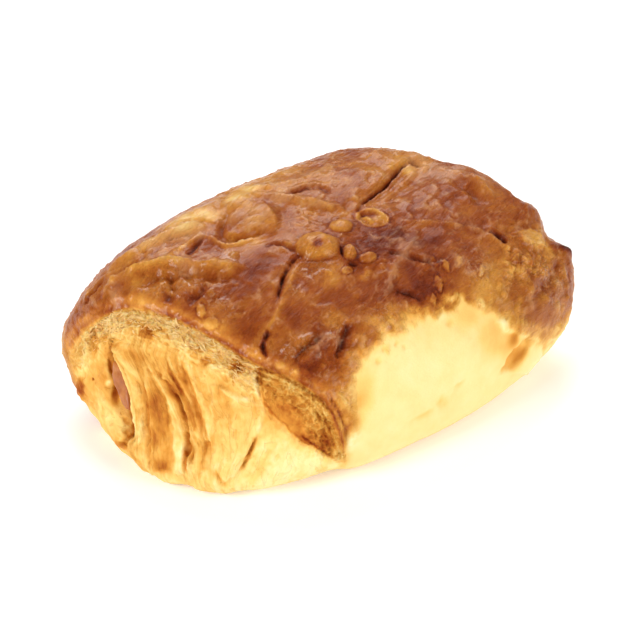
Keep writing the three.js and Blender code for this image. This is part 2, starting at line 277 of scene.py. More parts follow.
# Thin leaves of dough that lie on the rest: how proud they stand, how much browner or paler they are, how
# much more so along the edge, and the outline on the picture
LEAVES = {
    "flap": (1, 0.1, 0.14, [(263, 403), (257, 368), (280, 374), (300, 387), (318, 397), (330, 408),
        (342, 432), (345, 463), (335, 460), (326, 454), (318, 449), (300, 440), (285, 427), (270, 412)]),
    "leaf beside the ham": (0.5, -0.03, -0.06, [(119, 348), (130, 356), (138, 376), (142, 400), (144, 440),
        (138, 446), (134, 420), (130, 396), (123, 372)]),
    "orange leaf": (0.35, 0.08, -0.03, [(146, 372), (160, 384), (169, 402), (173, 430), (172, 470),
        (152, 474), (150, 440), (149, 400)]),
    "pale leaf": (0.7, -0.1, -0.05, [(150, 368), (164, 378), (174, 392), (183, 410), (186, 430), (184, 474),
        (174, 474), (174, 430), (168, 402), (158, 384)]),
    "brown leaf": (0.3, 0.12, -0.1, [(166, 356), (176, 370), (186, 392), (196, 414), (200, 436), (192, 432),
        (184, 408), (174, 386), (165, 372)]),
    "long leaf": (0.5, 0.02, -0.1, [(176, 350), (188, 362), (198, 386), (207, 410), (212, 440), (206, 442),
        (200, 414), (190, 390), (180, 368)]),
    "bulge": (0.5, -0.03, -0.05, [(212, 384), (230, 392), (246, 399), (262, 404), (260, 424), (254, 440),
        (238, 472), (222, 486), (212, 470), (210, 430)]),
    "crumb leaf": (0.35, 0.04, -0.1, [(186, 340), (202, 342), (206, 354), (196, 362), (184, 354)]),
    "second crumb leaf": (0.3, 0.14, -0.1, [(228, 360), (240, 362), (248, 372), (238, 378), (228, 370)]),
    "third crumb leaf": (0.3, 0.12, -0.1, [(138, 324), (152, 324), (160, 334), (150, 342), (138, 336)]),
    "lump by the wall": (0.5, 0.12, -0.05, [(78, 374), (88, 376), (90, 392), (84, 400), (78, 392)]),
    "leaf of the tear": (-0.8, 0.12, 0.06, [(500, 373), (505, 360), (516, 347), (532, 333), (531, 346),
        (522, 358), (512, 370)]),
    "fringe of the flare": (0.7, -0.02, -0.14, [(498, 322), (512, 318), (526, 322), (540, 328), (552, 328),
        (560, 322), (564, 328), (556, 338), (545, 342), (530, 340), (518, 334), (506, 332)]),
    "band by the tear": (0.5, -0.02, -0.05, [(512, 374), (524, 360), (534, 344), (542, 342), (540, 358),
        (526, 374)]),
    "cream leaf of the notch": (0.5, -0.18, 0.05, [(514, 232), (530, 228), (540, 232), (547, 246),
        (536, 250), (520, 244)]),
}

# How much stronger the crust's lines are than they are written here
FOLD_GAIN = 1.4

# Folds and creases: how far they reach to each side, how far they stand up or sink in, how much darker or
# paler they are, and their line on the picture. The colour is partly the dough's own browning, partly
# painted shade in the creases and valleys and painted highlight on the raised folds.
LINES = {
    "left ridge": (1.7, 0.98, -0.05, [(108, 268), (130, 256), (150, 243), (172, 232), (192, 226),
        (206, 231)]),
    "left wrinkle": (0.7, -0.55, 0.1, [(110, 276), (132, 265), (152, 252), (170, 243), (186, 240)]),
    "second left wrinkle": (0.6, -0.5, 0.08, [(130, 262), (152, 248), (178, 236), (200, 232)]),
    "third left wrinkle": (0.7, -0.5, 0.1, [(150, 240), (172, 229), (196, 221), (216, 225)]),
    "crest": (1.02, 1.05, -0.12, [(106, 294), (117, 280), (134, 270), (152, 264), (166, 260), (185, 262),
        (204, 264), (225, 265), (245, 266)]),
    "facet under the crest": (2.4, -0.9, 0.06, [(128, 286), (165, 273), (205, 276), (238, 277)]),
    "slanting fold": (0.77, 0.84, -0.12, [(166, 258), (176, 251), (190, 242), (204, 234)]),
    "shadow of the slanting fold": (0.8, -0.68, 0.16, [(187, 253), (195, 246), (203, 238)]),
    "fold under the hump": (0.77, 0.77, -0.14, [(204, 234), (214, 240), (224, 246), (236, 245), (248, 240),
        (262, 234)]),
    "valley under the hump": (1, -0.83, 0.12, [(222, 236), (238, 239), (250, 237), (264, 230)]),
    "hump": (1.7, 1.19, -0.05, [(229, 221), (231, 212), (238, 203), (250, 197), (268, 196), (290, 199),
        (320, 204), (345, 208)]),
    "left edge of the hump": (0.9, -0.83, 0.05, [(222, 238), (221, 229), (225, 220), (230, 211)]),
    "wrinkle on the hump": (0.6, -0.3, 0.06, [(225, 233), (236, 222), (250, 214), (263, 214)]),
    "second wrinkle on the hump": (0.5, -0.25, 0.05, [(240, 227), (252, 221), (266, 222)]),
    "shoulder of the hump": (1.1, 0.7, -0.06, [(262, 202), (270, 212), (275, 222), (271, 233)]),
    "fold behind the hump": (1.27, 0.7, -0.05, [(248, 189), (270, 187), (289, 183), (306, 178), (322, 172)]),
    "valley behind the hump": (1, -0.75, 0.18, [(286, 194), (304, 189), (318, 186), (331, 193)]),
    "crease over the wrinkle": (0.7, -0.8, 0.16, [(266, 247), (274, 244), (284, 246), (296, 251)]),
    "wrinkle": (0.48, -1.1, 0.24, [(299, 254), (291, 264), (284, 276), (280, 288), (278, 298)]),
    "wrinkle lip": (0.77, 0.7, -0.12, [(302, 262), (294, 274), (288, 288), (282, 302), (274, 318),
        (266, 331), (258, 346)]),
    "furrow": (0.6, -0.9, 0.34, [(269, 331), (264, 341), (263, 350), (268, 359)]),
    "dip": (1.4, -0.9, 0.12, [(170, 270), (171, 286), (166, 304)]),
    "dip beside it": (1.2, -0.9, 0.14, [(206, 284), (200, 294), (186, 303)]),
    "near roll": (1.5, 0.5, -0.04, [(84, 312), (112, 298), (150, 302), (195, 320), (240, 342), (278, 361),
        (300, 377)]),
    "near shoulder fold": (0.8, -0.7, 0.1, [(84, 304), (92, 294), (100, 284), (104, 276)]),
    "second near shoulder fold": (0.9, 0.7, -0.06, [(106, 300), (109, 288), (116, 276)]),
    "far crease": (0.45, -1.15, 0.24, [(414, 161), (402, 168), (393, 178), (383, 189), (372, 197),
        (363, 204), (357, 211)]),
    "notch of the far crease": (1.5, -1.2, 0.05, [(421, 166), (417, 164), (410, 161)]),
    "left lip of the far crease": (1.19, 0.56, -0.03, [(406, 158), (392, 168), (380, 181), (366, 192)]),
    "right lip of the far crease": (1.19, 0.77, -0.05, [(428, 166), (413, 176), (402, 187), (388, 199),
        (374, 208)]),
    "far shoulder": (0.94, 0.56, -0.06, [(400, 222), (425, 221), (450, 224), (480, 230), (500, 245)]),
    "edge of the sheen": (0.8, -0.7, 0.15, [(388, 252), (410, 257), (430, 262), (443, 258)]),
    "crease over the drops": (0.8, -0.7, 0.15, [(396, 290), (410, 293), (424, 302)]),
    "far dip": (2.2, -1.1, 0.07, [(455, 180), (470, 191), (482, 205)]),
    "far top ridge": (1.6, 0.7, -0.05, [(432, 168), (452, 172), (473, 180), (492, 196)]),
    "far dark crack": (0.8, -1.2, 0.32, [(489, 231), (498, 236), (507, 243)]),
    "line of the fringe": (0.5, -0.7, 0.2, [(326, 391), (333, 402), (340, 415), (345, 430), (346, 446)]),
    "second line of the fringe": (0.5, 0.6, -0.08, [(337, 392), (345, 402), (351, 414)]),
    "dark edge of the flap": (0.5, -0.4, 0.24, [(294, 431), (306, 438), (320, 448), (334, 457)]),
    "wet fold": (1, 0.9, -0.04, [(281, 353), (292, 345), (303, 339), (316, 336)]),
    "second wet fold": (0.9, 0.9, -0.04, [(300, 364), (312, 352), (323, 343), (335, 334)]),
    "valley of the wet folds": (0.8, -0.9, 0.1, [(294, 360), (307, 346), (322, 336)]),
    "valley above the side": (1.1, -1.1, 0.16, [(350, 322), (344, 338), (337, 358)]),
    "layer groove": (0.7, -0.5, 0.12, [(140, 372), (147, 398), (149, 440), (151, 470)]),
    "layer crack": (0.6, -1.3, 0.3, [(147, 370), (162, 377), (172, 392), (181, 408), (185, 424), (187, 438),
        (185, 462), (186, 480)]),
    "second layer groove": (0.9, -0.8, 0.16, [(169, 372), (177, 388), (183, 402)]),
    "third layer groove": (0.8, -1, 0.16, [(177, 353), (184, 372), (193, 392), (200, 414), (206, 436)]),
    "fourth layer groove": (0.8, -0.5, 0.12, [(208, 440), (205, 455), (204, 472)]),
    "bulge edge": (0.6, 0.5, -0.12, [(219, 386), (228, 394), (240, 399), (254, 398)]),
    "bulge seam": (0.6, 0.5, -0.1, [(254, 372), (256, 391), (263, 407), (261, 422), (256, 439)]),
    "bulge crack": (0.5, -1, 0.3, [(256, 437), (249, 455), (240, 471)]),
    "small slit": (0.6, -0.9, 0.28, [(214, 470), (220, 479), (225, 488)]),
    "side slit": (0.6, -0.4, 0.06, [(402, 422), (412, 419), (424, 415), (434, 411)]),
    "lip of the flare": (1.2, 0.7, 0.2, [(548, 246), (560, 248), (568, 251), (573, 262)]),
    "fold of the flare": (1.8, -0.6, 0.1, [(560, 262), (548, 282), (532, 300)]),
}

# Blisters, drops, pits and bits: centre on the picture, half sizes along and across, turn in degrees, how
# far they stand up or sink in, and how much darker or paler they are; the darkening of some is painted
# shade, as marked. The last two numbers of an opened blister are the depth of its hollow and how much
# browner or paler its rim is.
SPOTS = {
    "opened blister": ((372.5, 217.5), (17, 8), -10, 0.7, -0.26, 1.3, -0.1),
    "dark inside the opened blister": ((368, 212.5), (11, 3), -3, -0.3, 0.3),
    "lip inside the opened blister": ((368, 217), (7, 2), -25, 0.4, -0.1),
    "large blister": ((318, 247), (22, 13), -4, 1.6, -0.11),
    "large blister's middle": ((318, 248.5), (5.5, 5), 0, -0.3, 0.28),
    "large blister's hole": ((325.5, 236), (2.8, 2.2), 0, -1, 0.9),
    "blister": ((341, 226), (12, 7), 0, 1.1, -0.18),
    # Painted shade in the notch between the blisters
    "dark between the blisters": ((341.5, 251), (2, 6), 15, -0.8, 0.25),
    "tall blister": ((350, 253), (6.5, 8), 25, 1.5, -0.17),
    # Painted shade under the tall blister
    "dark under the tall blister": ((353, 264), (5, 2), -10, -0.7, 0.25),
    "blister beside it": ((368, 257.5), (9, 5), 8, 0.9, -0.18),
    "blister under it": ((347, 271), (6, 4), 10, 0.5, -0.14),
    "bubble": ((201, 311), (4.5, 6.5), 0, 0.8, -0.2),
    "bubble under it": ((212, 324), (8.5, 6.5), 0, 0.6, -0.08),
    "ringed bubble": ((518, 259), (6, 4), 0, 0.7, -0.1, 0.5, -0.05),
    "ringed bubble below": ((515, 268), (4.5, 3.5), 0, 0.5, -0.1, 0.4, -0.05),
    "drop": ((439, 283), (3.5, 9), 20, 0.6, -0.2),
    "drop beside it": ((446, 265), (3, 7), 25, 0.5, -0.2),
    "drop over it": ((434, 262), (3, 6), 25, 0.5, -0.15),
    "drop by the side": ((455, 297), (3, 6), -30, 0.5, -0.15),
    "second drop": ((459, 261), (3, 5), 0, 0.4, -0.15),
    "third drop": ((481, 271), (3, 6), 0, 0.4, -0.15),
    "fourth drop": ((434, 298), (3, 7), 10, 0.4, -0.15),
    "brown pit": ((93, 344), (5.5, 13), -8, -1, 0.22),
    "pit in the groove": ((190, 453), (4, 12), 3, -1.1, 0.3),
    "pit by the seam": ((260, 376), (4.5, 9), 5, -0.6, 0.22),
    "tear": ((443, 402), (7, 5), 35, -0.7, 0.11),
    "second tear": ((460, 385), (8, 2.6), 12, -0.5, 0.07),
    "pore": ((384, 349), (2.5, 3.5), -30, -0.5, 0.07),
    "second pore": ((378, 361), (3.5, 3.5), 0, -0.5, 0.07),
    "third pore": ((396, 344), (2, 4), -30, -0.4, 0.06),
    "fourth pore": ((404, 347), (2, 2.5), 0, -0.4, 0.06),
    "fifth pore": ((450, 323), (4, 5), -30, -0.3, 0.05),
    # Painted shadow at the top of the slit
    "dark top of the slit": ((111, 367), (3, 9), 12, -1, 0.36),
    "browned by the ham": ((114.5, 391), (4.5, 9), -20, -0.4, 0.32),
    "browned under the ham": ((124, 411), (6, 4), -45, -0.3, 0.14),
    "orange ring of the fringe": ((349, 427), (5, 4), 30, -0.5, 0.16),
    "orange hollow of the fringe": ((343, 413), (5, 4), 20, -0.4, 0.14),
    "white bit": ((108, 382), (4.5, 3), 40, -0.1, -0.2),
    "hole under the rim": ((177, 327), (3, 3), 0, -0.7, 0.25),
    "long hole under the rim": ((168, 337), (2, 5), 35, -0.6, 0.18),
    "hole in the crumb": ((189, 367), (4.5, 3.5), 20, -0.5, -0.08),
    "hollow in the crumb": ((206, 361), (5.5, 5), 20, -0.6, 0.08),
    "pale bit in the crumb": ((213, 367), (4, 4), 20, -0.2, -0.1),
    "dot": ((93, 379), (1.4, 1.4), 0, -0.5, 0.6),
    "lump by the wall": ((82, 385), (4, 9), 8, 0.5, 0.16),
    "low lump": ((121, 441), (6, 5), -20, 0.6, 0.14),
}

# Where the crust and the end are darker or paler than around: picture point, radius and amount. Among them
# are painted shade and painted highlight, as marked.
PATCHES = {
    "dark by the side": ((322, 355), 12, 0.05),
    "dark corner": ((300, 365), 7, 0.05),
    "red brown middle": ((300, 320), 9, 0.08),
    "dark towards the side": ((390, 275), 12, 0.10),
    "dark far": ((440, 225), 14, 0.07),
    "dark far edge": ((520, 205), 7, 0.12),
    "dark over the drops": ((430, 255), 8, 0.1),
    "dark near": ((175, 300), 7, 0.10),
    "dark triangle": ((212, 252), 2.2, 0.12),
    "orange facet": ((126, 286), 3.5, 0.06),
    "golden spot on the facet": ((134, 283), 1.6, -0.15),
    "dark blob": ((243, 325), 3.5, 0.10),
    "brown by the furrow": ((249, 345), 2.4, 0.06),
    "brown over the rim": ((270, 360), 2.2, 0.15),
    "brown over the flap": ((304, 375), 2.2, 0.12),
    "lighter rim of the flap": ((294, 385), 1.8, -0.12),
    "lighter end of the rim": ((244, 360), 1.8, -0.12),
    "brown in the flap": ((322, 411), 2, 0.10),
    "brown by the fringe": ((333, 393), 1.8, 0.10),
    "lighter beside the blisters": ((291, 246), 2.6, -0.08),
    # Painted shade under the blisters
    "dark under the blisters": ((350, 262), 6, 0.08),
    "golden patch": ((308, 297), 4, -0.10),
    "brown over the golden patch": ((301, 285), 3, 0.10),
    "golden tail": ((335, 282), 4, -0.10),
    "golden streak": ((260, 243), 2.6, -0.18),
    "dark under the streak": ((255, 272), 4, 0.14),
    "dark beside the wrinkle": ((252, 293), 2.6, 0.10),
    # Painted highlight, under the sheen on the back of the ridge
    "lighter back of the ridge": ((150, 242), 3.4, -0.10),
    "brown under the ridge": ((157, 256), 2.4, 0.12),
    "brown under the slanting fold": ((180, 253), 2.4, 0.11),
    # Painted highlight, under the sheen by the hump
    "lighter under the ridge": ((194, 233), 2.4, -0.08),
    "brown by the streak": ((262, 247), 2.4, 0.07),
    "golden by the bubbles": ((213, 307), 2.4, -0.11),
    "lighter near shoulder": ((106, 273), 3, -0.11),
    "golden far": ((365, 158), 5, -0.10),
    "golden behind the hump": ((316, 184), 5, -0.06),
    "brown on the hump": ((294, 216), 3, 0.04),
    "golden over the blister": ((340, 212), 3, -0.11),
    "golden beside the opened blister": ((359, 205), 2.6, -0.11),
    "golden middle": ((420, 227), 3, -0.12),
    "golden far dip": ((466, 193), 4.5, -0.08),
    "yellow by the crease": ((408, 171), 2.2, -0.28),
    "yellow back": ((205, 211), 4, -0.24),
    "yellow back above": ((232, 199), 3.4, -0.24),
    "yellow back top": ((250, 189), 2.6, -0.20),
    "yellow back edge": ((184, 222), 4, -0.24),
    "golden left": ((124, 258), 5, -0.05),
    "golden slope": ((490, 288), 6, -0.16),
    "brown flare": ((570, 290), 5, 0.08),
    "brown far top": ((466, 186), 9, 0.13),
    # These two are painted highlight under the sheens of the far edge
    "lighter far edge": ((450, 173), 3, -0.14),
    "lighter far edge by the crease": ((422, 165), 3, -0.12),
    "brown behind the hump": ((349, 172), 3, 0.15),
    # Painted highlight under the sheen on the top of the hump
    "lighter top of the hump": ((280, 198), 3.4, -0.14),
    "lighter behind the top": ((303, 203), 3, -0.14),
    "lighter hump": ((237, 208), 3, -0.10),
    "lighter far shoulder": ((499, 194), 3, -0.10),
    "brown far top middle": ((425, 199), 3, 0.08),
    "brown in the far dip": ((447, 193), 3, 0.10),
    "lighter fold under the hump": ((228, 237), 2, -0.18),
    # Painted highlight under the sheen on the back
    "lighter back": ((180, 233), 3, -0.10),
    "lighter by the side": ((332, 320), 3, -0.22),
    "lighter wet fold": ((304, 342), 3, -0.20),
    "lighter near": ((174, 285), 3, -0.25),
    "lighter beside it": ((194, 279), 2.4, -0.15),
    "golden over the flare's fringe": ((507, 312), 2.6, -0.18),
    "orange by the tear": ((515, 338), 2.4, 0.30),
    "golden in the tear": ((526, 353), 2.4, 0.16),
    "golden at the tear's foot": ((518, 365), 2.2, 0.13),
    "golden before the tear": ((505, 346), 2.8, 0.15),
    "lighter lip of the flare": ((549, 249), 2, -0.14),
    "lighter fold of the flare": ((542, 296), 2.6, -0.15),
    "lighter flare": ((554, 282), 2.8, -0.12),
    "lighter flare above": ((563, 270), 2.6, -0.10),
    "golden fringe of the flare": ((518, 308), 2.2, -0.15),
    "brown fringe of the flare": ((551, 322), 2.4, 0.12),
    "brown pebbles by the notch": ((526, 269), 2.4, 0.14),
    "brown corner over the slope": ((475, 271), 3, 0.14),
    "lighter border over the side": ((437, 309), 2.4, -0.15),
    "lighter middle": ((469, 214), 3, -0.13),
    "orange border over the side": ((408, 315), 2.4, 0.15),
    "brown top": ((335, 200), 9, 0.13),
    "brown middle": ((238, 308), 8, 0.13),
    "brown right": ((400, 245), 12, 0.10),
    # Painted highlight: the lightness of the sheen on the hump
    "pale hump": ((250, 214), 5, -0.28),
    "pale near crust": ((140, 290), 5, -0.08),
    "mid end": ((213, 446), 4, 0.09),
    "flap tip": ((328, 444), 3.6, 0.40),
    "pale under the flap": ((318, 460), 2.2, -0.14),
    "orange by the slit": ((132, 357), 2.2, 0.15),
    "orange over the leaves": ((143, 357), 2, 0.13),
    "orange beside the crumb": ((168, 351), 2.2, 0.10),
    "orange top of the bulge": ((226, 391), 3, 0.12),
    "orange foot": ((133, 457), 3, 0.16),
    "orange foot of the bulge": ((257, 475), 3, 0.11),
    "orange foot by the small slit": ((226, 474), 2.4, 0.14),
    "orange left wall": ((90, 382), 3, 0.10),
    "lighter foot of the slit": ((129, 434), 2, -0.10),
    "orange under the ham": ((125, 410), 2, 0.08),
    "lighter brown leaf": ((172, 380), 2, -0.10),
    "lighter leaf": ((179, 399), 1.8, -0.14),
    "orange bulge": ((237, 413), 2.8, 0.12),
    "orange flap": ((301, 423), 2.6, 0.16),
    "orange left of the slit": ((102, 373), 2.2, 0.18),
    "orange between the leaves": ((140, 371), 1.8, 0.14),
    "orange under the crumb": ((201, 364), 2.2, 0.13),
    "lighter groove": ((187, 450), 2, -0.22),
    "flap middle tip": ((306, 438), 2.2, 0.24),
    "flap": ((287, 402), 6, 0.21),
    "flap pale": ((292, 383), 2.5, -0.14),
    "golden fringe": ((344, 407), 3.2, -0.26),
    "golden fringe by the flap": ((341, 425), 2.2, -0.26),
    "golden fringe below": ((348, 439), 2.8, -0.32),
    "golden fringe above": ((345, 390), 2.6, -0.11),
    "flap towards the tip": ((330, 424), 3, 0.16),
    "orange by the corner": ((327, 388), 2.6, -0.06),
    "orange fringe": ((359, 402), 2.6, 0.17),
    "orange fringe over it": ((364, 384), 3, 0.07),
    "orange fringe under it": ((358, 422), 2, 0.12),
    "orange fringe by the side": ((373, 344), 2.4, 0.07),
    "second orange fringe by the side": ((399, 327), 2.4, 0.05),
    "orange fringe above": ((358, 362), 3, 0.06),
    "golden side": ((498, 335), 5, 0.10),
    "golden side above": ((478, 312), 7, 0.14),
    "brown pebbles": ((548, 318), 4, 0.06),
    "golden pebbles": ((530, 275), 8, -0.08),
    "golden under the notch": ((540, 262), 5, -0.06),
    "golden over the side": ((470, 288), 6, -0.10),
    "orange top of the slit": ((112, 349), 4, 0.16),
    "brown under the rim": ((148, 333), 2.6, 0.24),
    "second brown": ((238, 366), 2.2, 0.22),
    "third brown": ((132, 323), 2.0, 0.14),
    "orange in the crumb": ((158, 365), 3.0, 0.12),
    "second orange in the crumb": ((178, 378), 3.0, 0.14),
    "golden in the crumb": ((198, 350), 3.0, 0.06),
    "left wall": ((84, 392), 4, 0.18),
    "low left lump": ((115, 438), 5, 0.12),
    "orange layer top": ((156, 400), 3.0, 0.12),
    "orange layer": ((158, 418), 3.5, 0.16),
    "orange layer low": ((158, 440), 3.5, 0.16),
    "orange layer foot": ((161, 467), 2.2, 0.18),
    "pale break": ((158, 454), 1.6, -0.08),
    "brown layer": ((175, 392), 2.4, 0.14),
    "brown layer low": ((192, 414), 2.6, 0.14),
    "golden layer": ((140, 395), 5, 0.06),
    "brown grooves": ((190, 400), 6, 0.08),
    "milky": ((102, 388), 4, 0.09),
    "yellow by the slit": ((112, 420), 4, -0.06),
    "brown in the crumb": ((220, 351), 3, 0.06),
    "pale bulge": ((295, 450), 10, -0.06),
    "pale bulge low": ((270, 470), 9, -0.04),
    "bulge": ((235, 430), 8, 0.02),
    "tear orange": ((516, 356), 4, 0.12),
}

# Where the crust has tiny blisters: picture point, reach and how many
PIMPLES = {
    "by the bubbles": ((205, 303), 10, 30),
    "near left": ((155, 282), 8, 22),
    "left": ((187, 284), 7, 18),
    "dark corner": ((300, 350), 9, 28),
    "above the side": ((338, 330), 8, 20),
    "over the side": ((400, 300), 12, 24),
    "far drops": ((455, 275), 14, 34),
    "flare": ((548, 285), 11, 90),
    "pebbles": ((518, 285), 11, 90),
    "near shoulder": ((95, 300), 9, 14),
    "middle": ((300, 230), 25, 26),
    "far top": ((450, 200), 25, 20),
}
PIMPLE_SEED = 7

# Their height is a share of their radius
PIMPLE_RADIUS = (0.55, 1.3)
PIMPLE_HEIGHT = (0.2, 0.4)
PIMPLE_BAKE = (-0.08, 0.03)

# Flakes at the ends. At the near end they stay left of FLAP_LEFT, a column of the picture.
FLAKES = 520
FLAKE_LENGTH = (0.8, 2.6)
FLAKE_THICKNESS = (0.09, 0.17)
FLAKE_HEIGHT = (0.3, 0.6)
FLAKE_TURN = 0.55
FLAKE_CURL = 0.25
FLAKE_LEAN = 0.5
FLAKE_CUTS = 4
FLAKE_REACH = (6.5, 1.5)
FLAKE_LOWEST = 6
FLAP_LEFT = 258
FLAKE_SEED = 12


def millimetres(points):
    return np.array([tuple(p) for p in points], float)


def smooth(low, high, value):
    """0 up to low and 1 from high on, with a soft step between"""
    share = np.clip((value - low) / (high - low), 0.0, 1.0)
    return share * share * (3 - 2 * share)


# Camera

def look_directions():
    """The ways back to the camera, to its right and up, as it looks"""
    flat = math.cos(ELEVATION)
    back = Vector((math.sin(AZIMUTH) * flat, -math.cos(AZIMUTH) * flat, math.sin(ELEVATION)))
    right = Vector((math.cos(AZIMUTH), math.sin(AZIMUTH), 0.0))
    return back, right, back.cross(right)


BACK, RIGHT, UP = look_directions()
EYE = AIM + BACK * DISTANCE


def add_camera():
    data = bpy.data.cameras.new("camera")
    data.sensor_width = SENSOR_WIDTH
    data.lens = SENSOR_WIDTH * FOCAL_PIXELS / PICTURE_SIZE
    camera = bpy.data.objects.new("camera", data)
    camera.location = EYE * MM
    camera.rotation_mode = "QUATERNION"
    camera.rotation_quaternion = (-BACK).to_track_quat("-Z", "Y")
    bpy.context.scene.collection.objects.link(camera)
    bpy.context.scene.camera = camera


class Picture:
    """Finds the points of a surface that lie under points of the picture, and the other way round"""

    def __init__(self, mesh):
        form = bmesh.new()
        form.from_mesh(mesh)
        self.tree = BVHTree.FromBMesh(form)
        form.free()

    def point(self, x, y):
        """The point of the surface under a point of the picture, or None beside the object"""
        half = PICTURE_SIZE / 2
        direction = RIGHT * ((x - half) / FOCAL_PIXELS) + UP * ((half - y) / FOCAL_PIXELS) - BACK
        hit = self.tree.ray_cast(EYE * MM, direction.normalized())[0]
        return None if hit is None else hit / MM

    def path(self, points, step=3.0):
        """A smooth line through picture points, laid on the surface"""
        found = []
        last = len(points) - 1
        for i in range(last):
            around = [Vector(points[min(max(k, 0), last)]) for k in (i - 1, i, i + 1, i + 2)]
            pieces = max(1, round((around[2] - around[1]).length / step))
            for k in range(pieces + (i == last - 1)):
                t = k / pieces
                spot = 0.5 * (2 * around[1] + (around[2] - around[0]) * t
                              + (2 * around[0] - 5 * around[1] + 4 * around[2] - around[3]) * t * t
                              + (3 * around[1] - around[0] - 3 * around[2] + around[3]) * t ** 3)
                hit = self.point(*spot)
                if hit is not None:
                    found.append(hit)
        return millimetres(found)

    @staticmethod
    def seen_at(co):
        """Picture coordinates of points"""
        off = co - np.array(EYE)
        depth = -(off @ np.array(BACK))
        x = PICTURE_SIZE / 2 + FOCAL_PIXELS * (off @ np.array(RIGHT)) / depth
        y = PICTURE_SIZE / 2 - FOCAL_PIXELS * (off @ np.array(UP)) / depth
        return np.stack([x, y], 1)


# Meshes

def shown(name, mesh):
    piece = bpy.data.objects.new(name, mesh)
    bpy.context.scene.collection.objects.link(piece)
    return piece


def skin_over(node, voxel):
    """A closed, even skin over one of the solids, as a new mesh"""
    form = bmesh.new()
    form.from_mesh(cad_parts[node].data)
    bmesh.ops.remove_doubles(form, verts=form.verts, dist=1e-6)
    mesh = bpy.data.meshes.new(node + "_skin")
    form.to_mesh(mesh)
    form.free()
    worked = shown(node + "_worked", mesh)
    remesh = worked.modifiers.new("skin", "REMESH")
    remesh.mode = "VOXEL"
    remesh.voxel_size = voxel * MM
    graph = bpy.context.evaluated_depsgraph_get()
    skin = bpy.data.meshes.new_from_object(worked.evaluated_get(graph))
    bpy.data.objects.remove(worked)
    bpy.data.meshes.remove(mesh)
    return skin


def refine(mesh, wanted):
    """Halves the mesh's edges wherever wanted(points, ways out) says so"""
    form = bmesh.new()
    form.from_mesh(mesh)
    middles = np.array([(e.verts[0].co + e.verts[1].co) / 2 for e in form.edges]) / MM
    normals = np.array([(e.verts[0].normal + e.verts[1].normal) / 2 for e in form.edges])
    edges = [e for e, k in zip(form.edges, wanted(middles, normals)) if k]
    bmesh.ops.subdivide_edges(form, edges=edges, cuts=1, use_grid_fill=True)
    bmesh.ops.triangulate(form, faces=[f for f in form.faces if len(f.verts) > 4])
    form.to_mesh(mesh)
    form.free()


